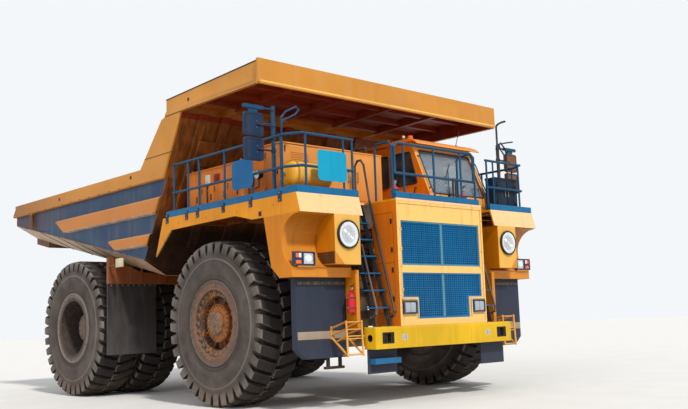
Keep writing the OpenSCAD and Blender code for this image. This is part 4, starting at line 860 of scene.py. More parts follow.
# Finish and rounding of each frame node's skin, and the regions that take another finish, as clad takes them;
# {} stands for right and left
CLAD = {
    "frame_rails": ("frame_orange", 0.012),
    "front_axle": ("dark_metal", 0.015),
    "rear_axle": ("dark_metal", 0.02),
    "suspension_struts": ("steel", 0.006),
    "engine_block": ("grease_black", 0.02),
    "radiator_housing": ("front_yellow", 0.014),
    "radiator_grilles": ("grille_blue", 0.0,
                         ("grille_line", (2.733, 0, 1.3), (2.7445, 1.07, 3.4)),
                         ("grille_bar", (2.745, 0, 1.3), (2.77, 0.031, 3.4))),
    # the bumper's black regions are the faces inside its two pockets, darkened as painted shade
    "bumper": ("bumper_yellow", 0.014,
               ("black_paint", (2.60, 1.453, 1.07), (2.822, 1.595, 1.22)),
               ("black_paint", (2.6, 1.72, 1.05), (2.8, 1.8195, 1.25))),
    "lamps": ("black_paint", 0.003,
              ("pale_tube", (2.76, 0.71, 1.46), (2.83, 0.764, 1.80)),
              ("pale_tube", (2.76, 1.1001, 1.46), (2.83, 1.2, 1.80)),
              ("pale_tube", (2.76, 0.70, 1.77), (2.83, 1.12, 1.80)),
              ("dark_blue", (2.76, 0.76, 1.5), (2.83, 1.11, 1.77)),
              ("dark_blue", (2.3, 2.7, 2.3), (2.42, 3.2, 2.6)),
              ("pale_box", (2.7, 1.0, 1.05), (2.83, 1.3, 1.25))),
    # lamp_box_gold is the fender's paint made paler on the lamp box's front faces, as a painted highlight
    "front_fenders": ("fender_gold", 0.012, ("lamp_box_gold", (2.58, 1.8, 2.3), (2.61, 2.46, 3.3))),
    "side_decks": ("valance_gold", 0.01),
    "center_deck": ("valance_gold", 0.008),
    "railings": ("rail_blue", 0.0,
                 ("plate_blue", (0.715, -3.165, 3.77), (1.345, -3.1555, 4.31)),
                 ("plate_cyan", (2.4497, -2.66, 3.77), (2.459, -1.99, 4.31)),
                 ("dark_blue", (-1.5, 3.1761, 3.42), (2.52, 3.2, 3.61)),
                 ("board_blue", (-1.5, 3.163, 3.42), (2.52, 3.1761, 3.67)),
                 ("board_blue", (2.49, 1.7, 3.42), (2.52, 3.2, 3.67)),
                 ("board_blue", (2.745, 0, 3.5), (2.77, 1.2, 3.67))),
    "ladders": ("board_blue", 0.0,
                ("handrail", (1.7, 1.08, 1.3), (2.7, 1.2145, 4.4)),
                ("handrail", (2.2, 1.575, 1.4), (2.7, 1.6215, 2.8)),
                ("stringer", (2.0, 1.199, 1.3), (2.7, 1.2145, 3.6)),
                ("stringer", (2.0, 1.549, 1.3), (2.7, 1.5645, 3.6))),
    "lattice_steps": ("step_yellow", 0.0),
    "mudflaps": ("flap_rubber", 0.006,
                 ("panel_rubber", (2.0, 1.8, 0.8), (2.21, 3.0, 2.19)),
                 ("panel_rubber", (2.5, 1.0, 0.5), (2.7, 1.9, 1.0))),
    "rear_guards": ("guard_orange", 0.008),
    "side_tanks": ("frame_orange", 0.03),
    "cabinets": ("cabinet_orange", 0.012, ("dark_box", (2.0, 2.1, 3.5), (2.4, 3.0, 4.3))),
    "air_tank": ("tank_yellow", 0.012),
    "mirrors": ("rail_blue", 0.008,
                ("stringer", (1.7, 2.9, 3.5), (2.2, 3.3, 5.2)),
                ("rail_blue", (1.7, -3.3, 3.5), (2.2, -2.9, 5.2)),
                ("head_brown", (1.75, 3.28, 4.1), (1.85, 3.7, 4.945)),
                ("dark_blue", (1.75, -3.7, 4.1), (1.85, -3.28, 4.945)),
                ("mirror_glass", (1.75, 3.3, 4.1), (1.7885, 3.67, 4.95))),
    "extinguishers": ("red", 0.008,
                      ("board_blue", (2.55, 0.8, 3.5), (2.7, 1.1, 3.736)),
                      ("steel", (2.55, 0.8, 3.80), (2.7, 1.1, 3.9))),
    "cab_shell": ("cab_orange", 0.012),
    "cab_roof": ("cab_orange", 0.016, ("lamp_orange", (1.39, 0.64, 5.001), (1.51, 0.76, 5.1))),
    # the windscreen's faces take pale glass, a painted reflection of the sky
    "cab_glass": ("window", 0.0, ("windscreen", (1.6, 0.6, 3.8), (2.2, 2.3, 4.8))),
    "cab_door": ("cab_orange", 0.01),
    "door_glass": ("window", 0.0),
    "body_floor": ("body_orange", 0.012),
    "body_side_{}": ("body_orange", 0.016),
    "body_front_wall": ("body_orange", 0.012),
    "body_canopy": ("body_orange", 0.012),
    "tie_rod": ("dark_metal", 0.0),
    "hoist_barrel_{}": ("dark_metal", 0.008),
    "hoist_stage_{}": ("polished", 0.004),
    "hoist_rod_{}": ("polished", 0.004),
    "knuckle_{}": ("dark_metal", 0.01),
    "front_rim_{}": ("rim_front", 0.006),
    "rear_rims_{}": ("rim_rear", 0.006),
}

# Pins that another body turns on: axis, a point on it and radius, with x from the front axle
PINS = {"frame_rails": (1, joint_at("dump_body_tip") - AXLE_X * X, 0.09),
        "rear_axle": (1, (REAR_X, 0.0, TYRE_R), 0.4),
        "knuckle_{}": (2, (-0.55, 1.95, 0.0), 0.03)}


class TRUCK_OT_skins(bpy.types.Operator):
    """Rounded and painted skins over the frame's own pieces"""
    bl_idname = "truck.skins"
    bl_label = "Skins"

    def execute(self, context):
        for node, (finish, edge, *regions) in CLAD.items():
            for word in (SIDES if "{}" in node else ("",)):
                clad(node.format(word), finish, edge, regions, PINS.get(node))
        return {"FINISHED"}


def build(name, slot, draw, body="chassis", mirror=True):
    """Draws a piece, and its mirror image too; a body named with {} gets one piece a side."""
    if "{}" not in body:
        piece = Piece(name)
        draw(piece)
        if mirror:
            join(piece.mesh, mirror_image(piece.mesh.copy()))
        piece.place(body, slot)
        return
    for word, side in SIDES.items():
        piece = Piece(f"{name}_{word}")
        draw(piece)
        if side < 0:
            mirror_image(piece.mesh)
        piece.place(body.format(word), slot)


class TRUCK_OT_wheels(bpy.types.Operator):
    """Lock rings, hub covers, studs and nuts of the wheels"""
    bl_idname = "truck.wheels"
    bl_label = "Wheel fittings"

    def execute(self, context):
        self.sizes = context.scene.truck_tyres
        build("front_wheel_fittings", "rim", self.front, "wheel_front_{}")
        build("rear_wheel_fittings", "rim", self.rear, "wheel_rear_{}")
        return {"FINISHED"}

    def bead_rings(self, piece, rim, out, finish):
        """Lock ring at the tyre's bead and gutter ring inside it, on the face towards out."""
        for outline in (((0.735, 0.43), (0.742, 0.441), (0.766, 0.441), (0.774, 0.43)),
                        ((0.625, 0.385), (0.64, 0.426), (0.668, 0.436), (0.69, 0.43))):
            piece.lathe([(radius, out * along) for radius, along in outline], rim, finish, 64)

    def front(self, piece):
        hub = Vector((0, self.sizes.front_y, TYRE_R))
        self.bead_rings(piece, hub, 1, "rim_front")
        # clamp flange, hub flange, hub cover and its plug, each with its steps
        for steps, outline in (
                (64, ((0.648, 0.385), (0.640, 0.372), (0.50, 0.366), (0.488, 0.355), (0.480, 0.22), (0.50, 0.20))),
                (48, ((0.30, 0.326), (0.305, 0.342), (0.33, 0.342), (0.345, 0.325), (0.345, 0.24))),
                (32, ((0.205, 0.386), (0.17, 0.402), (0.10, 0.408), (0.0, 0.408))),
                (8, ((0.075, 0.405), (0.07, 0.432), (0.0, 0.436)))):
            piece.lathe(outline, hub, "rim_front", steps)
        clamp, rib = hub + Vector((0, 0.376, 0.575)), hub + Vector((0, 0.25, 0.40))
        piece.ring_of(24, hub, lambda one: one.slab(clamp, (0.082, 0.034, 0.105), "rim_front", 0.010))
        piece.bolt_circle(24, hub, (0, 0.392, 0.572), Y, 0.021, 0.020, "dark_metal")
        piece.bolt_circle(24, hub, (0, 0.342, 0.317), Y, 0.015, 0.016, "dark_metal")
        piece.bolt_circle(10, hub, (0, 0.40, 0.178), Y, 0.016, 0.014)
        piece.ring_of(8, hub, lambda one: one.slab(rib, (0.03, 0.09, 0.15), "rim_front", 0.006), start=pi / 8)
        self.valve(piece, hub, (0.0, 0.20, -0.60), (0.0, 0.30, -0.60), (0.0, 0.36, -0.56), 0.03)

    def rear(self, piece):
        for y, out in ((self.sizes.outer_y, 1), (self.sizes.inner_y, -1)):
            self.bead_rings(piece, Vector((REAR_X, y, TYRE_R)), out, "rim_rear")
        hub = Vector((REAR_X, 2.76, TYRE_R))
        piece.lathe([(0.585, 0.0), (0.575, 0.03), (0.50, 0.036), (0.49, 0.0)], hub, "rim_rear", 48)
        piece.lathe([(0.32, 0.0), (0.315, 0.06), (0.29, 0.08), (0.29, 0.235), (0.275, 0.25), (0.10, 0.256),
                     (0.0, 0.256)], hub, "rim_rear", 48)
        piece.bolt_circle(10, hub, (0, 0.252, 0.225), Y, 0.018, 0.016, "dark_metal")
        piece.bolt_circle(24, hub, (0, 0.034, 0.56), Y, 0.017, 0.02, "dark_metal", start=pi / 24)
        washer = ((0.036, 0.037), (0.040, 0.046), (0.052, 0.046), (0.055, 0.035))
        piece.ring_of(12, hub, lambda one: one.lathe(washer, hub + 0.54 * Z, "rim_rear", 12))
        self.valve(piece, hub, (0.1, -0.1, -0.62), (0.1, 0.1, -0.62), (0.12, 0.2, -0.59), 0.04)

    def valve(self, piece, hub, start, elbow, end, bend):
        piece.tube([hub + Vector(spot) for spot in (start, elbow, end)], 0.010, "steel", bend)


class TRUCK_OT_lights(bpy.types.Operator):
    """Reflectors, bulbs, lenses and brackets of the lamps"""
    bl_idname = "truck.lights"
    bl_label = "Lights"

    def execute(self, context):
        build("headlights", "lamp", self.headlight)
        build("radiator_lamps", "lamp", self.radiator_lamp)
        build("fender_lamps", "lamp", self.fender_lamp)
        build("work_lamps", "lamp", self.work_lamps, mirror=False)
        build("tail_lamps", "lamp", self.tail_lamps)
        return {"FINISHED"}

    def headlight(self, piece):
        cup = Vector((2.6243, 2.166, 2.88))
        # the white ring, the reflector, the lens and the black rim, then the reflector's steps and the bulb
        for outline, finish, steps in (
                ([(0.211, 0.0), (0.209, 0.012), (0.196, 0.014), (0.148, 0.006), (0.144, 0.0)], "lamp_white", 48),
                ([(0.146, 0.010), (0.12, 0.005), (0.08, 0.003), (0.045, 0.002), (0.0, 0.002)], "reflector", 48),
                ([(0.2115, 0.0155), (0.12, 0.0175), (0.0, 0.018)], "lens_glass", 48),
                ([(0.241, -0.02), (0.243, 0.004), (0.232, 0.021), (0.214, 0.021), (0.209, 0.0)], "black_paint", 56)):
            piece.lathe(outline, cup, finish, steps, X)
        for radius in (0.118, 0.09, 0.062):
            piece.lathe([(radius - 0.006, 0.004), (radius, 0.009), (radius + 0.006, 0.004)], cup, "chrome", 40, X)
        piece.ball(cup + 0.008 * X, 0.034, "lamp_white", (0.22, 1, 1))
        piece.bolt_circle(6, cup, (0.0195, 0, 0.225), X, 0.007, 0.004)

    def radiator_lamp(self, piece):
        face = 2.801
        piece.box((face - 0.001, 0.797, 1.562), (face + 0.004, 1.068, 1.728), "reflector", 0.002)
        piece.box((face + 0.001, 0.806, 1.572), (face + 0.0115, 0.930, 1.718), "lens_pale", 0.004)
        piece.box((face + 0.001, 0.938, 1.572), (face + 0.0115, 1.060, 1.718), "lens_pale", 0.004)
        piece.boxes(9, (0, 0.0285, 0), (face + 0.010, 0.82, 1.585), (face + 0.0128, 0.828, 1.705),
                    "lens_glass", 0.001)
        piece.box((face + 0.002, 0.93, 1.565), (face + 0.0125, 0.938, 1.725), "head_brown", 0.001)
        for z in (1.552, 1.738):
            piece.bolts([(2.8148, 0.777, z), (2.8148, 1.088, z)], X, 0.007, 0.003)
        # small lamp in the bumper
        piece.box((2.8235, 1.072, 1.112), (2.8246, 1.128, 1.186), "lens_pale", 0.0004)
        piece.box((2.8235, 1.136, 1.112), (2.8246, 1.178, 1.186), "lens_pale", 0.0004)
        piece.box((2.8235, 1.094, 1.108), (2.8247, 1.102, 1.19), "head_brown")

    def fender_lamp(self, piece):
        face = 2.386
        piece.box((face, 2.746, 2.391), (face + 0.005, 2.954, 2.564), "reflector", 0.002)
        piece.ball((face + 0.006, 2.85, 2.478), 0.06, "lamp_white", (0.12, 1.3, 1))
        piece.boxes(6, (0, 0.032, 0), (face + 0.008, 2.765, 2.40), (face + 0.0125, 2.773, 2.555), "lens_glass")
        piece.box((face, 3.006, 2.390), (face + 0.011, 3.124, 2.450), "lamp_orange", 0.004)
        piece.box((face, 3.006, 2.490), (face + 0.011, 3.058, 2.565), "lamp_white", 0.004)
        piece.box((face, 3.064, 2.490), (face + 0.011, 3.124, 2.565), "lamp_orange", 0.004)
        piece.bolts([(2.3995, y, z) for y in (2.726, 3.154) for z in (2.375, 2.578)], X, 0.008, 0.004)

    def work_lamps(self, piece):
        # on the right deck, behind the rails
        centre = Vector((1.36, -3.05, 3.99))
        piece.rod(centre - Z * 0.11, centre, 0.012, "stringer", 8)
        piece.lathe([(0.0, -0.075), (0.045, -0.07), (0.075, -0.02), (0.08, 0.045), (0.074, 0.055)], centre,
                    "black_paint", 24, axis=-Y)
        piece.lathe([(0.074, 0.05), (0.05, 0.046), (0.0, 0.042)], centre, "lamp_white", 24, axis=-Y)
        piece.tube([(1.36, -3.05, 3.88), (1.36, -3.05, 3.78), (1.30, -3.136, 3.74)], 0.012, "stringer", 0.02)
        # dome beside it, on the same foot
        piece.ball((1.22, -3.05, 4.02), 0.055, "lamp_white", (1, 1, 0.8))
        piece.tube([(1.22, -3.05, 4.0), (1.22, -3.05, 3.9), (1.30, -3.136, 3.74)], 0.012, "stringer", 0.02)
        # ribs and base of the cab's beacon
        base = Vector((1.45, 0.70, 5.0))
        piece.lathe([(0.056, 0.0), (0.068, 0.0), (0.068, 0.014), (0.056, 0.02)], base, "black_paint", 24, axis=Z)
        for z in (0.035, 0.055, 0.075):
            piece.lathe([(0.0545, z - 0.006), (0.0575, z), (0.0545, z + 0.006)], base, "lamp_orange", 24, axis=Z)

    def tail_lamps(self, piece):
        tail = REAR_X - 1.55
        piece.box((tail - 0.02, 0.44, 2.16), (tail, 0.60, 2.54), "black_paint", 0.008)
        for z, lens in ((2.22, "lamp_orange"), (2.35, "lamp_red"), (2.48, "lamp_red")):
            spot = Vector((tail - 0.02, 0.52, z))
            piece.lathe([(0.052, 0.0), (0.052, 0.02), (0.046, 0.024), (0.046, 0.016)], spot, "steel", 20, axis=-X)
            piece.lathe([(0.046, 0.012), (0.03, 0.024), (0.0, 0.028)], spot, lens, 20, axis=-X)


class TRUCK_OT_front(bpy.types.Operator):
    """Radiator fins, housing bolts, vent grids, mud panel trim and bumper fittings"""
    bl_idname = "truck.front"
    bl_label = "Front fittings"

    def execute(self, context):
        build("radiator_fins", "blue", self.fins)
        build("housing_bolts", "yellow", self.housing)
        build("pod_vents", "yellow", self.vents)
        build("mud_panel_trim", "rubber_sheet", self.panel)
        build("bumper_fittings", "yellow", self.bumper)
        return {"FINISHED"}

    def fins(self, piece):
        piece.box((2.6925, 0.0, 1.47), (2.694, 1.07, 3.17), "core_blue")
        piece.boxes(27, (0, 0.04, 0), (2.694, 0.016, 1.47), (2.704, 0.024, 3.17), "core_blue")
        for i in range(9):
            z = 1.60 + 0.19 * i
            piece.rod((2.701, 0.0, z), (2.701, 1.07, z), 0.010, "core_blue", 6)

    def housing(self, piece):
        piece.bolts([(2.782, 1.143, 1.45 + 0.2 * i) for i in range(11)], X, 0.010, 0.007, "front_yellow")
        piece.bolts([(2.782, 0.1 + 0.2 * i, 3.478) for i in range(6)], X, 0.010, 0.007, "front_yellow")
        # clips that hold the grille frames
        for z in (1.62, 1.95, 2.36, 2.66, 3.0):
            piece.box((2.768, 1.048, z - 0.025), (2.776, 1.092, z + 0.025), "front_yellow", 0.003)
            piece.bolts([(2.776, 1.08, z)], X, 0.008, 0.004)
        # seams and latches of the access doors in the flank
        for x in (2.18, 2.68):
            piece.box((x, 1.1645, 1.55), (x + 0.006, 1.1665, 3.30), "seam")
        for z in (1.55, 2.42, 3.294):
            piece.box((2.18, 1.1645, z), (2.686, 1.1665, z + 0.006), "seam")
        for z in (1.75, 2.25, 2.6, 3.1):
            piece.box((2.62, 1.165, z), (2.66, 1.173, z + 0.09), "black_paint", 0.003)
            piece.pin((2.19, 1.170, z), 0.1, 0.008, "front_yellow")

    def vents(self, piece):
        piece.prism([(2.13, 2.605), (2.13, 2.80), (2.60, 2.80), (2.60, 2.605)], 1, 2.4515, 2.4545, "fender_gold")
        piece.prism([(2.251, 2.381), (2.4515, 2.381), (2.4515, 2.605)], 0, 2.1305, 2.5995, "fender_gold", 0.004)
        piece.box((2.15, 2.450, 2.395), (2.585, 2.4535, 2.595), "black_paint")
        piece.boxes(11, (0.0421, 0, 0), (2.15, 2.453, 2.395), (2.163, 2.458, 2.595), "vent_brown", 0.001)
        piece.boxes(6, (0, 0, 0.0376), (2.15, 2.4535, 2.395), (2.584, 2.459, 2.406), "vent_brown", 0.001)
        piece.bolts([(x, 2.4545, z) for x in (2.15, 2.58) for z in (2.63, 2.78)], Y, 0.008, 0.004)

    def panel(self, piece):
        piece.box((2.1995, 1.90, 1.167), (2.204, 2.97, 1.295), "stripe", 0.001)
        piece.box((2.2, 1.90, 2.06), (2.206, 2.96, 2.12), "dark_metal", 0.002)
        piece.bolts([(2.206, 1.96 + 0.156 * i, 2.09) for i in range(7)], X, 0.013, 0.008)
        # brackets that hang under the panel
        piece.boxes(2, (0, 0.27, 0), (2.07, 1.95, 0.70), (2.12, 2.0, 0.852), "black_paint", 0.005)
        piece.box((2.06, 1.90, 0.66), (2.13, 2.32, 0.705), "black_paint", 0.006)
        # splash plate between the panel and the radiator housing
        piece.box((1.975, 1.18, 1.00), (1.990, 1.86, 2.30), "grease_black", 0.003)
        for z in (1.1, 1.6, 2.15):
            piece.box((1.990, 1.18, z), (2.000, 1.86, z + 0.03), "grease_black", 0.003)

    def bumper(self, piece):
        piece.rod((2.775, 1.524, 1.078), (2.775, 1.524, 1.214), 0.020, "black_paint", 16)
        piece.bolts([(2.57 + 0.06 * i, 1.40, 1.3315) for i in (0, 1, 3)], Z, 0.016, 0.012)
        piece.bolts([(2.60, y, 1.3315) for y in (0.2, 0.45, 0.7, 0.95, 1.2)], Z, 0.014, 0.012)
        # weld beads round the end plate, and a lug for lifting
        piece.tube([(2.60, 1.8205, 0.985), (2.80, 1.8205, 0.985), (2.80, 1.8205, 1.31)],
                   0.006, "bumper_yellow", 0.02, 6)
        piece.eye((2.70, 0.85, 1.36), 0.022, 0.05, 0.014, "bumper_yellow", 24)


class TRUCK_OT_decks(bpy.types.Operator):
    """Post bolts, seams and stiffeners of the decks, ladder fittings and the bottles' straps"""
    bl_idname = "truck.decks"
    bl_label = "Deck fittings"

    def execute(self, context):
        build("deck_fittings", "yellow", self.deck)
        build("ladder_fittings", "blue", self.ladder)
        build("bottle_fittings", "red", self.bottles, mirror=False)
        return {"FINISHED"}

    def deck(self, piece):
        for x in (-1.44, -0.74, -0.37, 0.46, 1.28, 2.09):
            piece.bolts([(x, 3.188, 3.455), (x, 3.188, 3.575)], Y, 0.015, 0.010)
        for x in (-1.05, -0.1, 0.86, 1.9):
            piece.box((x, 3.1755, 3.37), (x + 0.008, 3.1785, 3.425), "seam")
        # square hole in the side plate, with its collar
        piece.box((1.495, 3.1755, 3.245), (1.58, 3.1795, 3.33), "vent_brown", 0.002)
        piece.box((1.508, 3.1790, 3.258), (1.567, 3.1805, 3.317), "black_paint")
        # stiffeners under the deck
        for x in (-1.3, -0.65, 0.0, 0.65, 1.3, 1.9):
            piece.box((x - 0.03, 1.83, 3.42), (x + 0.03, 3.14, 3.5), "frame_orange", 0.006)
        piece.boxes(2, (0, 0.64, 0), (-1.55, 1.86, 3.44), (2.4, 1.91, 3.5), "frame_orange", 0.006)
        # anti-slip strips, clear of the lamp box
        for y in (1.90, 2.04, 3.02):
            piece.box((2.12, y, 3.5395), (2.46, y + 0.05, 3.545), "black_paint", 0.002)
        piece.boxes(7, (0.17, 0, 0), (0.9, 2.98, 3.5395), (0.96, 3.13, 3.545), "black_paint", 0.002)

    def slope(self, z):
        """Where the ladder's leaning stringers are at a height."""
        return 2.523 - 0.29 * (z - 1.43)

    def ladder(self, piece):
        for i in range(6):
            z = 3.165 - 0.301 * i
            x = self.slope(z)
            for step in (-0.025, 0.005, 0.035, 0.065, 0.088):
                piece.box((x + step, 1.22, z - 0.001), (x + step + 0.008, 1.545, z + 0.006), "board_blue", 0.002)
            piece.boxes(2, (0, 0.3275, 0), (x - 0.035, 1.2145, z - 0.05), (x + 0.045, 1.222, z - 0.0195),
                        "stringer", 0.002)
        for z in (1.62, 2.5, 3.3):
            x = self.slope(z)
            piece.bolts([(x - 0.02, 1.564, z), (x + 0.02, 1.564, z - 0.03)], Y, 0.010, 0.006)

    def bottles(self, piece):
        for x, y, foot, tall in ((2.40, -1.951, 1.58, 0.33), (2.592, -0.985, 3.545, 0.25),
                                 (2.592, 0.88, 3.545, 0.25)):
            base = Vector((x, y, foot))
            for z in (0.08, tall - 0.08):
                piece.band(base + z * Z, 0.0695, 0.0735, 0.012, "stringer", 32, Z)
                piece.box(base + Vector((-0.012, -0.090, z - 0.012)), base + Vector((0.012, -0.070, z + 0.012)),
                          "steel", 0.003)
            top = base + (tall + 0.075) * Z
            piece.rod(top - 0.02 * Z, top + 0.03 * Z, 0.016, "steel", 10)
            piece.slab(top + Vector((0.03, 0, 0.03)), (0.10, 0.018, 0.014), "black_paint", 0.004)
            piece.slab(top + Vector((0.035, 0, 0.055)), (0.11, 0.018, 0.008), "black_paint", 0.003,
                       Matrix.Rotation(radians(-14), 3, "Y"))
            piece.rod(top + Vector((0, 0.016, 0.005)), top + Vector((0, 0.034, 0.005)), 0.016, "lamp_white", 16)


class TRUCK_OT_cabinets(bpy.types.Operator):
    """Doors, hinges, latches, vents and pipes of the cabinets and tank"""
    bl_idname = "truck.cabinets"
    bl_label = "Cabinet fittings"

    def execute(self, context):
        build("cabinet_fittings", "frame_orange", self.cabinets, mirror=False)
        build("tank_fittings", "yellow", self.tank, mirror=False)
        build("locker_fittings", "blue", self.locker, mirror=False)
        return {"FINISHED"}

    def door(self, piece, left, right, wall, top):
        """A raised door panel with hinges and latch, in a wall that faces right."""
        foot, face = 3.62, wall - 0.010
        piece.box((left, face, foot), (right, wall, top), "cabinet_orange", 0.004)
        for share in (0.15, 0.85):
            piece.pin((left + 0.02, face, foot + (top - foot) * share - 0.05), 0.1, 0.010)
        latch = Vector((right - 0.06, face, (foot + top) / 2))
        piece.slab(latch - 0.006 * Y, (0.03, 0.012, 0.11), "black_paint", 0.003)
        piece.rod(latch, latch - 0.022 * Y, 0.012, "steel", 12)

    def cabinets(self, piece):
        side, tall_side = -2.90, -2.74
        for left, right in ((-1.13, -0.73), (-0.64, -0.26), (-0.22, 0.17), (0.21, 0.59)):
            self.door(piece, left, right, side, 4.03)
        self.door(piece, 0.70, 1.10, tall_side, 4.52)
        self.door(piece, 1.14, 1.56, tall_side, 4.52)
        # weather strip above the doors
        for left, right, y, z in ((-1.16, -0.70, side, 4.38), (-0.67, 0.61, side, 4.38),
                                  (0.66, 1.60, tall_side, 4.58)):
            piece.box((left, y - 0.014, z - 0.03), (right, y + 0.002, z - 0.006), "cabinet_orange", 0.003)
        # pale box, dark red vent and the pipe between them
        piece.box((-0.47, side - 0.045, 4.07), (-0.33, side + 0.002, 4.25), "pale_box", 0.010)
        piece.box((-0.215, side - 0.012, 4.09), (-0.04, side + 0.002, 4.24), "hatch_red", 0.003)
        piece.boxes(5, (0, 0, 0.026), (-0.205, side - 0.020, 4.107), (-0.05, side - 0.010, 4.117), "hatch_red", 0.002)
        piece.tube([(-0.43, side - 0.022, 4.08), (-0.43, side - 0.022, 3.56), (-0.43, side + 0.12, 3.555)], 0.013,
                   "stringer", 0.04)
        for z in (3.62, 3.95):
            piece.slab((-0.43, side - 0.012, z), (0.06, 0.026, 0.02), "steel", 0.003)
        # handles, hinges and louvres on the front doors of the tall cabinet
        for y in (-2.70, -1.90):
            for z in (3.75, 4.40):
                piece.pin((1.618, y + 0.03, z), 0.11, 0.011)
            piece.handle((1.612, y + 0.70, 3.98), (1.612, y + 0.70, 4.16), (0.043, 0, 0), 0.009, "steel")
            piece.boxes(7, (0, 0, 0.03), (1.611, y + 0.16, 4.22), (1.620, y + 0.56, 4.234), "cabinet_orange", 0.003)
        # roofs: lifting eyes and rows of bolts
        for x, y, z in ((-1.10, -2.8, 4.38), (-1.10, -1.4, 4.38), (0.5, -2.8, 4.38), (-0.6, -1.4, 4.38),
                        (0.75, -2.6, 4.58), (1.5, -1.2, 4.58), (0.72, -0.95, 4.58), (1.45, -0.35, 4.58)):
            piece.eye((x, y, z + 0.025), 0.018, 0.036, 0.007, "steel", 20)
        piece.bolts([(0.70 + 0.14 * i, y, 4.58) for i in range(7) for y in (-2.70, -1.12)], Z, 0.010, 0.007)
        # door and conduit of the cabinet beside the cab
        piece.box((1.5485, -0.98, 3.65), (1.560, -0.31, 4.5), "cabinet_orange", 0.004)
        piece.handle((1.565, -0.92, 4.0), (1.565, -0.92, 4.18), (0.035, 0, 0), 0.009, "steel")
        piece.handle((1.50, -0.60, 4.575), (1.2, -0.60, 4.575), (0, 0, 0.125), 0.022, "stringer", 0.06, 10)

    def tank(self, piece):
        x, z = 1.95, 3.93
        hub = Vector((x, -2.95, z))
        for y in (-2.78, -2.18):
            spot = Vector((x, y, z))
            piece.band(spot, 0.2395, 0.2455, 0.024, "black_paint")
            for side in (-0.234, 0.234):
                piece.rod(spot + Vector((side, 0, -0.14)), spot + Vector((side, 0, -0.36)), 0.010, "steel", 8)
        for y in (-2.68, -2.28):
            piece.lathe([(0.2395, -0.006), (0.2425, 0.0), (0.2395, 0.006)], (x, y, z), "tank_yellow")
        piece.rod(hub + 0.004 * Y, hub - 0.02 * Y, 0.035, "steel", 6)
        piece.tube([hub - 0.015 * Y, hub - 0.07 * Y, hub + Vector((0, -0.07, -0.36))], 0.012, "steel", 0.03)
        piece.lathe([(0.045, 0.0), (0.045, 0.03), (0.03, 0.035), (0.0, 0.035)], (x, -2.48, 4.168),
                    "steel", 20, axis=Z)

    def locker(self, piece):
        piece.boxes(2, (0, 0.33, 0), (2.3585, 2.24, 3.60), (2.368, 2.54, 4.18), "dark_box", 0.004)
        for y in (2.50, 2.60):
            piece.slab((2.374, y, 3.92), (0.014, 0.022, 0.12), "steel", 0.003)
        for y in (2.26, 2.85):
            for z in (3.68, 4.02):
                piece.pin((2.372, y, z), 0.09, 0.009)
        piece.box((2.10, 2.18, 4.238), (2.372, 2.93, 4.252), "dark_box", 0.005)


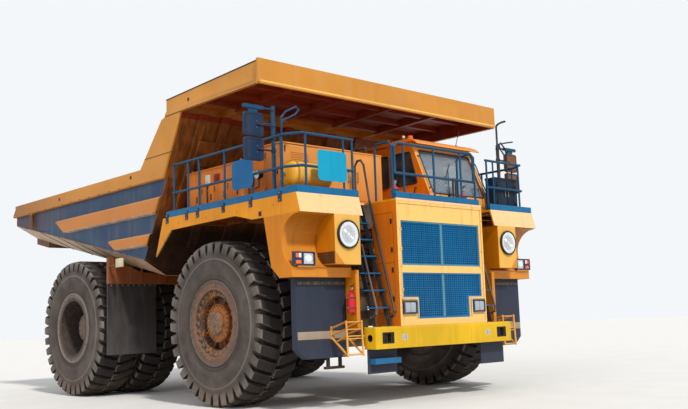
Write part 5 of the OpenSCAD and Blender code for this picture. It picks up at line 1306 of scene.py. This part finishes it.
class TRUCK_OT_cab(bpy.types.Operator):
    """Gaskets, wiper, controls and seat of the cab, and its door's fittings"""
    bl_idname = "truck.cab"
    bl_label = "Cab fittings"

    def execute(self, context):
        build("cab_fittings", "frame_orange", self.outside, mirror=False)
        build("cab_controls", "dark_metal", self.inside, mirror=False)
        build("cab_door_fittings", "frame_orange", self.door, "cab_door", mirror=False)
        seat = Piece("cab_seat_cushions")
        self.seat(seat)
        seat.place("chassis", "seat", "cab_seat")
        return {"FINISHED"}

    def screen(self, y, z, out=0.0):
        """A point of the windscreen's plane, moved forwards by out."""
        return Vector((2.06 - 0.4035 * (z - 3.78) + out, y, z))

    def outside(self, piece):
        screen = self.screen
        piece.loop([screen(0.675, 3.855, 0.002), screen(2.225, 3.855, 0.002), screen(2.225, 4.765, 0.002),
                    screen(0.675, 4.765, 0.002)], 0.014, "gasket", 0.06)
        # gaskets of the right wall's two windows, the left wall's and the rear one
        for corners in (((0.33, 4.085), (0.96, 4.085), (0.96, 4.735), (0.33, 4.735)),
                        ((1.03, 4.085), (1.735, 4.085), (1.56, 4.735), (1.03, 4.735))):
            piece.loop([(x, 0.549, z) for x, z in corners], 0.014, "gasket", 0.07)
        piece.hoop(1, 2.351, (0.295, 4.085), (0.625, 4.735), 0.012, "gasket", 0.06)
        piece.hoop(0, 0.149, (0.85, 4.15), (2.05, 4.70), 0.013, "gasket", 0.06)
        # wiper: motor, arm and blade
        piece.rod(screen(1.10, 3.82, -0.01), screen(1.10, 3.82, 0.03), 0.024, "black_paint", 14)
        piece.tube([screen(1.10, 3.82, 0.026), screen(1.22, 4.12, 0.034), screen(1.34, 4.36, 0.026)], 0.009,
                   "black_paint", 0.1, 8)
        piece.bead(screen(1.17, 4.18, 0.014), screen(1.50, 4.55, 0.014), 0.010, "gasket")
        # grab rails beside the windscreen and on the right wall
        for y in (0.60, 2.30):
            piece.tube([screen(y, 3.95, 0.0), screen(y, 3.97, 0.06), screen(y, 4.62, 0.06), screen(y, 4.64, 0.0)],
                       0.013, "rail_blue", 0.04, 8)
        piece.tube([(1.66, 0.55, 3.83), (1.66, 0.505, 3.83), (1.70, 0.505, 4.0), (1.70, 0.55, 4.0)], 0.011,
                   "black_paint", 0.03, 8)
        # seams, vents and drip rail
        piece.bead((0.14, 0.545, 4.915), (1.70, 0.545, 4.915), 0.010, "cab_orange")
        piece.boxes(2, (0.8, 0, 0), (0.197, 0.548, 3.62), (0.203, 0.5505, 4.05), "seam")
        piece.boxes(6, (0, 0, 0.035), (0.36, 0.541, 3.70), (0.82, 0.551, 3.716), "cab_orange", 0.003)
        piece.bolts([(2.058, y, 3.70) for y in (0.75, 1.1, 1.45, 1.8, 2.15)], X, 0.010, 0.006)
        # roof: hatch, antenna and small white lamp
        piece.box((0.55, 1.2, 4.998), (1.15, 1.8, 5.03), "cab_orange", 0.012)
        piece.rod((0.62, 1.27, 5.02), (0.62, 1.27, 5.05), 0.014, "steel", 10)
        piece.tube([(1.50, 2.05, 4.99), (1.50, 2.05, 5.05), (1.56, 2.10, 5.35)], 0.007, "black_paint", 0.02, 6)
        piece.lathe([(0.0, 0.0), (0.03, 0.0), (0.03, 0.02), (0.012, 0.05), (0.0, 0.05)], (1.50, 2.05, 4.995),
                    "black_paint", 14, axis=Z)
        piece.rod((1.38, 0.56, 4.99), (1.38, 0.56, 5.03), 0.014, "black_paint", 10)
        piece.ball((1.40, 0.56, 5.06), 0.036, "pale_box", (0.7, 1, 1), 8)

    def inside(self, piece):
        # dash with its hood and dials
        piece.prism([(1.64, 3.70), (1.60, 4.00), (1.70, 4.07), (1.86, 4.05), (1.93, 3.90), (1.95, 3.66),
                     (1.74, 3.62)], 1, 0.70, 2.20, "instrument", 0.012)
        for i in range(4):
            dial = Vector((1.618, 1.18 + 0.18 * i, 3.86))
            piece.lathe([(0.0, 0.008), (0.05, 0.008), (0.056, 0.016), (0.062, 0.006), (0.062, -0.01)], dial,
                        "gasket", 24, axis=-X)
            piece.rod(dial - 0.010 * X, dial - 0.013 * X, 0.047, "lamp_white", 24)
            piece.slab(dial + Vector((-0.0145, 0, 0.015)), (0.002, 0.004, 0.036), "lamp_red", 0.0,
                       Matrix.Rotation(0.5 * i - 0.7, 3, "X"))
        for i in range(8):
            piece.rod((1.626, 0.80 + 0.05 * i, 3.82), (1.605, 0.80 + 0.05 * i, 3.82), 0.009,
                      "lamp_orange" if i % 3 else "lamp_red", 10)
        # column and steering wheel
        centre = Vector((1.49, 1.45, 4.20))
        line = Vector((-0.42, 0, 0.9)).normalized()
        piece.rod((1.66, 1.45, 3.84), centre, 0.028, "instrument", 16, 0.022)
        turn = turn_to(line)

        def around(angle, radius=0.22):
            return centre + turn @ Vector((radius * cos(angle), radius * sin(angle), 0))

        piece.loop([around(2 * pi * i / 28) for i in range(28)], 0.016, "gasket", 0.0, 10)
        for angle in (pi / 2, 7 * pi / 6, 11 * pi / 6):
            piece.rod(centre, around(angle, 0.215), 0.013, "instrument", 8)
        piece.rod(centre - line * 0.02, centre + line * 0.022, 0.045, "instrument", 20, 0.034)
        # pedals, side console with levers, and the seat's base
        for y in (1.30, 1.60):
            piece.slab((1.60, y, 3.66), (0.16, 0.09, 0.02), "gasket", 0.006, Matrix.Rotation(radians(-50), 3, "Y"))
        piece.box((0.78, 0.82, 3.55), (1.36, 1.06, 4.02), "instrument", 0.02)
        for x in (1.02, 1.18):
            piece.rod((x, 0.94, 4.0), (x + 0.03, 0.94, 4.16), 0.008, "steel", 8)
            piece.ball((x + 0.033, 0.94, 4.18), 0.024, "gasket", (1, 1, 1.2), 8)
        piece.box((0.76, 1.26, 3.58), (1.14, 1.64, 3.64), "instrument", 0.01)
        for i in range(6):
            piece.lathe([(0.15, -0.012), (0.165, 0.0), (0.15, 0.012)], (0.95, 1.45, 3.66 + 0.024 * i),
                        "gasket", 32, axis=Z)
        for y in (1.12, 1.78):
            piece.tube([(0.70, y, 4.16), (0.74, y, 4.22), (1.10, y, 4.22)], 0.022, "gasket", 0.05, 10)
            piece.rod((0.72, y, 4.18), (0.70, y + (0.12 if y < 1.4 else -0.12), 4.14), 0.014, "steel", 8)

    def cushion(self, piece, low, high, crown=4.0):
        """A crowned closed form between two corners, with a welt round it and two seams across."""
        low, high = Vector(low), Vector(high)
        centre, half = (low + high) / 2, (high - low) / 2
        part = bmesh.new()
        bmesh.ops.create_cube(part, size=2.0)
        bmesh.ops.subdivide_edges(part, edges=part.edges[:], cuts=9, use_grid_fill=True)
        thin = min(range(3), key=lambda i: half[i])
        across, along = (i for i in range(3) if i != thin)
        for vert in part.verts:
            spot = vert.co / sum(abs(c) ** crown for c in vert.co) ** (1 / crown)
            # shallow valleys where the seams hold the cover down
            spot[thin] *= 1 - 0.10 * max(0.0, 1 - abs(abs(spot[across]) - 0.36) / 0.10)
            vert.co = centre + spot * half
        piece.take(part, "seat_cloth")
        welt = []
        for i in range(32):
            c, s = cos(2 * pi * i / 32), sin(2 * pi * i / 32)
            spot = Vector((0, 0, 0))
            spot[across], spot[along] = c * half[across], s * half[along]
            welt.append(centre + spot * (0.995 / (abs(c) ** crown + abs(s) ** crown) ** (1 / crown)))
        piece.loop(welt, 0.006, "gasket", 0.0, 6)

    def seat(self, piece):
        self.cushion(piece, (0.72, 1.21, 3.90), (1.20, 1.69, 4.055), 4.5)
        self.cushion(piece, (0.605, 1.22, 4.04), (0.745, 1.68, 4.50), 4.5)
        self.cushion(piece, (0.62, 1.31, 4.46), (0.73, 1.59, 4.60), 3.5)
        for y in (1.235, 1.665):
            self.cushion(piece, (0.76, y - 0.034, 3.94), (1.16, y + 0.034, 4.059), 3.5)

    def door(self, piece):
        piece.hoop(1, 2.351, (0.838, 4.075), (1.302, 4.705), 0.012, "gasket", 0.06)
        piece.handle((1.36, 2.352, 3.86), (1.36, 2.352, 4.02), (0, 0.043, 0), 0.010, "black_paint")
        piece.box((1.335, 2.3495, 3.88), (1.385, 2.357, 4.0), "steel", 0.004)
        for z in (3.72, 4.30, 4.66):
            piece.pin((0.735, 2.360, z), 0.10, 0.012, sides=10)
        piece.boxes(2, (0, 0, 0.32), (0.80, 2.3495, 3.70), (1.30, 2.3545, 3.72), "cab_orange", 0.002)


# Where the dump body's floor bends, as x and z, and how far its rear part leans
FLOOR_EDGE, FLOOR_LEAN = (-3.794, 3.075), radians(11.72)


class TRUCK_OT_load_body(bpy.types.Operator):
    """Weld seams, liner plates and trims of the dump body"""
    bl_idname = "truck.load_body"
    bl_label = "Dump body fittings"

    def execute(self, context):
        build("body_side_seams", "body_orange", self.side, "dump_body")
        build("canopy_trim", "body_orange", self.canopy, "dump_body")
        build("floor_liners", "body_orange", self.liners, "dump_body")
        return {"FINISHED"}

    def side(self, piece):
        def edge(x, rise=0.0):
            """Where the side meets the slanting floor edge."""
            return (x, 3.142, FLOOR_EDGE[1] + 0.2075 * (FLOOR_EDGE[0] - x) + rise)
        for x in (-7.4, -6.4, -5.5, -4.6):
            end = edge(x + 0.6)
            piece.bead(edge(x), (end[0], 2.56, end[2] - 0.320), 0.009)
        # gusset seam, and rusted holes in the side rail
        piece.bead((-2.19, 3.236, 4.80), (-1.10, 3.236, 4.80), 0.007)
        for x, z in ((-6.16, 4.48), (-2.77, 4.515)):
            piece.lathe([(0.0, 0.001), (0.026, 0.001), (0.032, 0.006), (0.040, 0.001), (0.044, -0.002)],
                        (x, 3.2345, z), "seam", 20)
        # weld beads under the side rail and above the chine
        piece.bead((-8.0, 3.142, 4.325), (-2.6, 3.142, 4.325), 0.008)
        piece.bead(edge(-8.0, 0.03), edge(-3.95, 0.03), 0.007)
        # clamps of the side rail's wear strip
        piece.boxes(12, (0.46, 0, 0), (-7.9, 3.2345, 4.338), (-7.82, 3.2375, 4.352), "seam")

    def canopy(self, piece):
        piece.box((1.6455, 0.0, 5.556), (1.650, 3.19, 5.590), "lip_gold", 0.001)
        # near-black tube along the canopy's side edge: painted shade under its outward lip
        piece.tube([(1.58, 3.187, 5.953), (-1.41, 3.187, 5.869)], 0.016, "soot", 0.0, 8)
        piece.bead((-1.40, 3.236, 5.53), (1.60, 3.236, 5.53), 0.006)
        piece.lathe([(0.0, 0.001), (0.024, 0.001), (0.03, 0.005), (0.038, 0.0)], (-0.62, 3.195, 5.72), "seam", 18)
        # weld beads between the roof's plates
        for y in (0.0, 1.30, 2.60):
            piece.bead((1.58, y, 5.953), (-1.41, y, 5.869), 0.007)

    def liners(self, piece):
        turn = Matrix.Rotation(FLOOR_LEAN, 3, "Y")
        ahead, up = turn @ X, turn @ Z
        edge = Vector((FLOOR_EDGE[0], 0, FLOOR_EDGE[1]))
        for i in range(5):
            for j in range(3):
                middle = edge + ahead * (-4.1 + 1.12 * i) - up * 0.248 + Y * (0.42 + 0.80 * j)
                piece.slab(middle, (1.08, 0.76, 0.014), "liner", 0.004, turn)
                for a, b in [(a, b) for a in (-0.46, 0.46) for b in (-0.30, 0.30)]:
                    spot = middle + ahead * a + Y * b + up * 0.006
                    piece.rod(spot, spot + up * 0.010, 0.022, "liner", 8, 0.016)


HOIST_X = -3.55


class TRUCK_OT_hydraulics(bpy.types.Operator):
    """Collars, ports and pin caps of the hoists"""
    bl_idname = "truck.hydraulics"
    bl_label = "Hydraulic fittings"

    def execute(self, context):
        build("hoist_barrel_fittings", "dark_metal", self.barrel, "hoist_barrel_{}")
        build("hoist_foot_fittings", "dark_metal", self.foot)
        return {"FINISHED"}

    def barrel(self, piece):
        foot = Vector((HOIST_X, 0.95, 0))
        for z, rise, out, material in ((2.285, 0.035, 0.016, "dark_metal"), (1.22, 0.04, 0.014, "dark_metal"),
                                       (1.55, 0.022, 0.008, "steel"), (1.95, 0.022, 0.008, "steel")):
            piece.band(foot + z * Z, 0.1695, 0.1695 + out, rise, material, axis=Z, slope=0.004)
        collar = foot + 2.285 * Z
        piece.ring_of(12, collar, lambda one: one.bolts([collar + 0.185 * X], X, 0.012, 0.008), Z)
        # port and hose of the barrel
        port = foot + 1.34 * Z
        piece.slab(port - 0.18 * X, (0.09, 0.10, 0.12), "dark_metal", 0.01)
        piece.rod(port - 0.21 * X, port - 0.26 * X, 0.026, "steel", 6)
        piece.tube([port + Vector(step) for step in ((-0.25, 0, 0), (-0.29, 0, 0), (-0.29, 0, 0.28),
                                                     (-0.20, 0, 0.32), (-0.17, 0, 0.32))],
                   0.018, "black_paint", 0.05)

    def foot(self, piece):
        pin = (HOIST_X, 1.06, 1.0)
        piece.lathe([(0.0, 0.012), (0.055, 0.012), (0.062, 0.004), (0.062, -0.004)], pin, "steel", 24)
        piece.bolt_circle(4, pin, (0, 0.012, 0.036), Y, 0.008, 0.006)


class TRUCK_OT_chassis(bpy.types.Operator):
    """Pipes and clamps, engine covers, tank straps, strut collars and axle bolts"""
    bl_idname = "truck.chassis"
    bl_label = "Chassis fittings"

    def execute(self, context):
        build("frame_pipes", "steel", self.pipes)
        build("engine_covers", "steel", self.engine)
        build("side_tank_straps", "frame_orange", self.tanks)
        build("axle_fittings", "dark_metal", self.axles)
        build("knuckle_fittings", "dark_metal", self.knuckle, "knuckle_{}")
        build("guard_fittings", "frame_orange", self.guard)
        return {"FINISHED"}

    def pipes(self, piece):
        for y, z, radius, finish, end in ((0.650, 2.180, 0.020, "steel", -3.2),
                                          (0.650, 2.115, 0.014, "black_paint", -3.2),
                                          (0.646, 1.780, 0.016, "steel", -2.5)):
            piece.rod((1.50, y, z), (end, y, z), radius, finish, 10)
        for i in range(9):
            x = 1.35 - 0.55 * i
            piece.box((x - 0.02, 0.619, 2.09), (x + 0.02, 0.676, 2.205), "dark_metal", 0.005)
            if x > -2.45:
                piece.box((x - 0.02, 0.619, 1.755), (x + 0.02, 0.668, 1.805), "dark_metal", 0.005)
            piece.bolts([(x, 0.676, 2.148)], Y, 0.009, 0.006)
        # plates and bolts at the cross tubes
        for x in (2.0, -1.5):
            piece.lathe([(0.13, 0.0), (0.19, 0.0), (0.19, 0.016), (0.13, 0.016)], (x, 0.6195, 1.99),
                        "frame_orange", 40)
            piece.bolt_circle(8, (x, 0.6355, 1.99), (0, 0, 0.16), Y, 0.013, 0.010)
        piece.bolts([(-5.4 + 0.09 * i, 0.62, 2.20) for i in range(12)], Y, 0.012, 0.008)

    def engine(self, piece):
        for i in range(8):
            x = -1.14 + 0.33 * i
            piece.box((x, 0.10, 2.948), (x + 0.26, 0.38, 3.03), "dark_metal", 0.02)
            piece.bolts([(x + a, b, 3.03) for a in (0.04, 0.22) for b in (0.14, 0.34)], Z, 0.010, 0.008)
            piece.tube([(x + 0.13, 0.40, 2.72), (x + 0.13, 0.47, 2.72), (x + 0.13, 0.50, 2.80)],
                       0.035, "head_brown", 0.05)
            piece.box((x + 0.02, 0.4195, 2.40), (x + 0.24, 0.432, 2.62), "dark_metal", 0.006)
        # exhaust manifold and its bend to the turbocharger
        piece.tube([(-1.15, 0.50, 2.83), (1.42, 0.50, 2.83)], 0.055, "head_brown", 0.0, 14)
        piece.tube([(1.40, 0.50, 2.83), (1.62, 0.50, 2.90), (1.68, 0.42, 3.10), (1.68, 0.10, 3.12)], 0.06,
                   "head_brown", 0.12, 14)
        piece.rod((1.25, 0.24, 3.03), (1.25, 0.24, 3.16), 0.05, "dark_metal", 16)
        # belt covers, filters and the fan duct's flange
        for i in range(3):
            piece.rod((0.2 + 0.22 * i, 0.45, 2.30), (0.2 + 0.22 * i, 0.45, 2.04), 0.07, "tank_yellow", 20, bevel=0.01)
        piece.box((1.648, 0.02, 2.16), (1.672, 0.32, 2.84), "dark_metal", 0.006)
        piece.bolts([(1.672, 0.28, 2.22 + 0.1 * i) for i in range(6)], X, 0.010, 0.008)

    def tanks(self, piece):
        for x in (-2.95, -2.36):
            piece.hoop(0, x, (0.64, 2.0585), (1.7585, 1.1415), 0.012, "dark_metal", 0.04)
            piece.box((x - 0.04, 1.7495, 1.18), (x + 0.04, 1.756, 2.02), "dark_metal", 0.003)
            piece.rod((x, 1.77, 1.50), (x, 1.77, 1.66), 0.016, "steel", 8)
        piece.lathe([(0.0, 0.05), (0.07, 0.05), (0.08, 0.035), (0.08, 0.0)], (-2.66, 1.45, 2.049),
                    "steel", 24, axis=Z)
        # sight glass, and ribs of the tank's rear end
        piece.tube([(-2.12, 1.757, 1.30), (-2.12, 1.775, 1.34), (-2.12, 1.775, 1.86), (-2.12, 1.757, 1.90)], 0.012,
                   "lens_glass", 0.02, 8)
        for z in (1.29, 1.91):
            piece.slab((-2.12, 1.762, z), (0.05, 0.026, 0.05), "steel", 0.005)
        piece.boxes(5, (0, 0, 0.17), (-3.2045, 0.72, 1.25), (-3.1995, 1.65, 1.27), "frame_orange", 0.001)

    def axles(self, piece):
        # flanges, gaiters and bolts of the suspension struts
        for z in (1.665, 1.690):
            piece.lathe([(0.168, 0.0), (0.20, 0.0), (0.20, 0.018), (0.168, 0.018)], (0, 1.25, z), "steel", 40, axis=Z)
        piece.bolt_circle(10, (0, 1.25, 1.683), (0.185, 0, 0.02), Z, 0.012, 0.012)
        piece.band((0, 1.25, 2.03), 0.1495, 0.168, 0.03, "dark_metal", 40, Z, 0.004)
        piece.band((-5.96, 0.96, 1.93), 0.1245, 0.14, 0.03, "dark_metal", 36, Z, 0.004)
        # cover of the rear housing, with its bolts
        rim = Vector((REAR_X - 0.56, 0, TYRE_R))
        piece.lathe([(0.0, 0.03), (0.20, 0.025), (0.34, 0.01), (0.36, -0.01)], rim, "dark_metal", 40, axis=-X)
        piece.bolt_circle(16, rim, (-0.008, 0, 0.30), -X, 0.016, 0.014)
        for y in (1.14, 1.335):
            piece.lathe([(0.42, -0.02), (0.455, -0.016), (0.455, 0.0), (0.42, 0.0)], (REAR_X, y, TYRE_R),
                        "dark_metal", 56)
        piece.bolt_circle(24, (REAR_X, 1.319, TYRE_R), (0, 0, 0.437), -Y, 0.013, 0.010)
        piece.tube([(-5.0, 0.50, 2.02), (-5.0, 1.1, 1.94), (-5.0, 1.30, 1.90)], 0.014, "black_paint", 0.05, 8)

    def knuckle(self, piece):
        for z, way in ((1.80, 1), (1.17, -1)):
            piece.bolts([(0.13 * cos(a), 1.95 + 0.13 * sin(a), z) for a in (0.5, 1.6, 2.7, 3.8, 5.9)],
                        way * Z, 0.014, 0.010)
        piece.bolts([(x, 2.2395, z) for x in (-0.22, 0.22) for z in (1.15, 1.35, 1.62, 1.82)], Y, 0.016, 0.014)

    def guard(self, piece):
        piece.boxes(4, (0, 0.6, 0), (-3.5995, 1.3, 2.40), (-3.590, 1.35, 2.90), "guard_orange", 0.003)
        piece.bolts([(-3.5995, 2.2 + 0.13 * i, 2.345) for i in range(9)], X, 0.014, 0.010)
        # small box on an arm beside the load body
        piece.box((-3.31, 3.245, 2.70), (-3.05, 3.295, 2.88), "pale_tube", 0.008)
        piece.tube([(-3.62, 3.275, 2.74), (-3.30, 3.275, 2.74)], 0.018, "dark_metal", 0.0, 8)


class TRUCK_OT_mirrors(bpy.types.Operator):
    """Backs, joints and mast top of the mirrors"""
    bl_idname = "truck.mirrors"
    bl_label = "Mirror fittings"

    def execute(self, context):
        build("mirror_fittings", "blue", self.joints)
        build("mirror_mast_top", "blue", self.mast, mirror=False)
        return {"FINISHED"}

    def joints(self, piece):
        for low, high in ((4.54, 4.94), (4.13, 4.515)):
            middle = (low + high) / 2
            piece.hoop(0, 1.8415, (3.32, low + 0.03), (3.65, high - 0.03), 0.006, "gasket", 0.04, 6)
            piece.ball((1.845, 3.40, middle), 0.030, "black_paint", (0.7, 1, 1), 8)
            piece.tube([(1.845, 3.40, middle), (1.87, 3.30, middle), (1.835, 3.09, middle)],
                       0.010, "stringer", 0.06, 8)
            piece.bolts([(1.84, 3.43, z) for z in (middle - 0.05, middle + 0.05)], X, 0.008, 0.006)
        for z in (3.62, 4.02, 4.52, 5.02):
            piece.band((1.805, 3.064, z), 0.0355, 0.043, 0.018, "stringer", 20, Z, 0.002)

    def mast(self, piece):
        piece.tube([(1.805, 3.064, 5.09), (1.805, 3.064, 5.54), (1.87, 3.14, 5.60), (1.93, 3.20, 5.62)],
                   0.022, "stringer", 0.05, 10)
        piece.tube([(1.805, 3.07, 5.12), (1.86, 3.30, 5.17), (1.88, 3.52, 5.21)], 0.016, "stringer", 0.1, 8)
        piece.ball((1.93, 3.20, 5.62), 0.030, "black_paint", (1, 1, 0.8), 8)


class StageSettings(bpy.types.PropertyGroup):
    place: bpy.props.FloatVectorProperty(name="Camera place", description="Where the camera stands",
                                         size=3, subtype="XYZ", default=(16.2836, -11.9794, 1.4906))
    yaw: angle_setting("Yaw", "Direction of view about the vertical", 137.5014)
    pitch: angle_setting("Pitch", "Direction of view over the level", 7.4481)
    roll: angle_setting("Roll", "Turn of the camera about its line of sight", -1.9611)
    lens: bpy.props.FloatProperty(name="Lens", description="Focal length on a 36 mm sensor",
                                  default=45.628, subtype="DISTANCE_CAMERA")
    floor: colour_setting("Floor", "Colour of the floor and backdrop", (0.80, 0.79, 0.77))


class TRUCK_OT_stage(bpy.types.Operator):
    """Pale floor, soft lamps and the camera at the photograph's view"""
    bl_idname = "truck.stage"
    bl_label = "Stage"

    def execute(self, context):
        settings = context.scene.truck_stage
        self.camera(context, settings)
        self.floor(settings)
        self.light(context)
        context.scene.view_settings.view_transform = "Standard"
        return {"FINISHED"}

    def camera(self, context, settings):
        yaw, pitch, roll = settings.yaw, settings.pitch, settings.roll
        ahead = Vector((cos(pitch) * cos(yaw), cos(pitch) * sin(yaw), sin(pitch)))
        right = Vector((sin(yaw), -cos(yaw), 0.0))
        up = right.cross(ahead)
        level, rise = cos(roll), sin(roll)
        axes = Matrix((level * right + rise * up, level * up - rise * right, -ahead)).transposed()
        data = bpy.data.cameras.new("view")
        data.lens = settings.lens
        data.sensor_width = 36.0
        data.clip_end = 500.0
        camera = new_object("view", data)
        camera.matrix_world = Matrix.Translation(settings.place) @ axes.to_4x4()
        context.scene.camera = camera

    def floor(self, settings):
        shade = Shade("floor")
        speckle = shade.noise(1.2, 4.0)
        pale = tuple(settings.floor)
        tone = shade.mix(speckle.fit(0.3, 0.7), toned(pale, 0.95), pale)
        material = shade.finish(Base_Color=tone, Roughness=0.9 + speckle * 0.05)
        part = bmesh.new()
        bmesh.ops.create_grid(part, x_segments=1, y_segments=1, size=120.0)
        mesh_object("floor", part, [material])

    def light(self, context):
        world = bpy.data.worlds.new("sky")
        world.use_nodes = True
        tree = world.node_tree
        seen = tree.nodes.new("ShaderNodeLightPath")
        soft, back = tree.nodes["Background"], tree.nodes.new("ShaderNodeBackground")
        for glow, colour, strength in ((soft, (0.93, 0.96, 1.0, 1.0), 0.62), (back, (0.90, 0.93, 0.96, 1.0), 1.0)):
            glow.inputs["Color"].default_value = colour
            glow.inputs["Strength"].default_value = strength
        choose = tree.nodes.new("ShaderNodeMixShader")
        # the pale backdrop is seen by the camera, and in metal and through glass
        shown = seen.outputs["Is Camera Ray"]
        for ray in ("Is Glossy Ray", "Is Transmission Ray"):
            either = tree.nodes.new("ShaderNodeMath")
            either.operation = "ADD"
            either.use_clamp = True
            tree.links.new(shown, either.inputs[0])
            tree.links.new(seen.outputs[ray], either.inputs[1])
            shown = either.outputs[0]
        tree.links.new(shown, choose.inputs[0])
        tree.links.new(soft.outputs[0], choose.inputs[1])
        tree.links.new(back.outputs[0], choose.inputs[2])
        tree.links.new(choose.outputs[0], tree.nodes["World Output"].inputs["Surface"])
        context.scene.world = world
        for name, azimuth, elevation, strength, spread, colour in (
                ("key", -14, 44, 2.5, 5.0, (1.0, 0.965, 0.90)), ("fill", -75, 25, 0.5, 30.0, (0.95, 0.97, 1.0))):
            data = bpy.data.lights.new(name, "SUN")
            data.energy = strength
            data.angle = radians(spread)
            data.color = colour
            beam = Vector((cos(radians(azimuth)) * cos(radians(elevation)),
                           sin(radians(azimuth)) * cos(radians(elevation)), sin(radians(elevation))))
            new_object(name, data).rotation_euler = beam.to_track_quat("Z", "Y").to_euler()


GROUPS = {"truck_tyres": TyreSizes, "truck_paint": PaintColours, "truck_stage": StageSettings}
OPERATORS = (TRUCK_OT_stage, TRUCK_OT_tyres, TRUCK_OT_skins, TRUCK_OT_wheels, TRUCK_OT_lights, TRUCK_OT_front,
             TRUCK_OT_decks, TRUCK_OT_cabinets, TRUCK_OT_cab, TRUCK_OT_load_body, TRUCK_OT_hydraulics,
             TRUCK_OT_chassis, TRUCK_OT_mirrors)


class TRUCK_PT_pieces(bpy.types.Panel):
    bl_label = "Dump Truck"
    bl_space_type = "VIEW_3D"
    bl_region_type = "UI"
    bl_category = "Dump Truck"

    def draw(self, context):
        for group in GROUPS:
            box = self.layout.box()
            for name in getattr(context.scene, group).__annotations__:
                box.prop(getattr(context.scene, group), name)
        for operator in OPERATORS:
            self.layout.operator(operator.bl_idname)


CLASSES = (*GROUPS.values(), *OPERATORS, TRUCK_PT_pieces)


def register():
    for cls in CLASSES:
        bpy.utils.register_class(cls)
    for name, group in GROUPS.items():
        setattr(bpy.types.Scene, name, bpy.props.PointerProperty(type=group))


def unregister():
    for name in GROUPS:
        delattr(bpy.types.Scene, name)
    for cls in reversed(CLASSES):
        bpy.utils.unregister_class(cls)


def main():
    register()
    for operator in OPERATORS:
        group, name = operator.bl_idname.split(".")
        getattr(getattr(bpy.ops, group), name)()


if __name__ == "__main__":
    main()
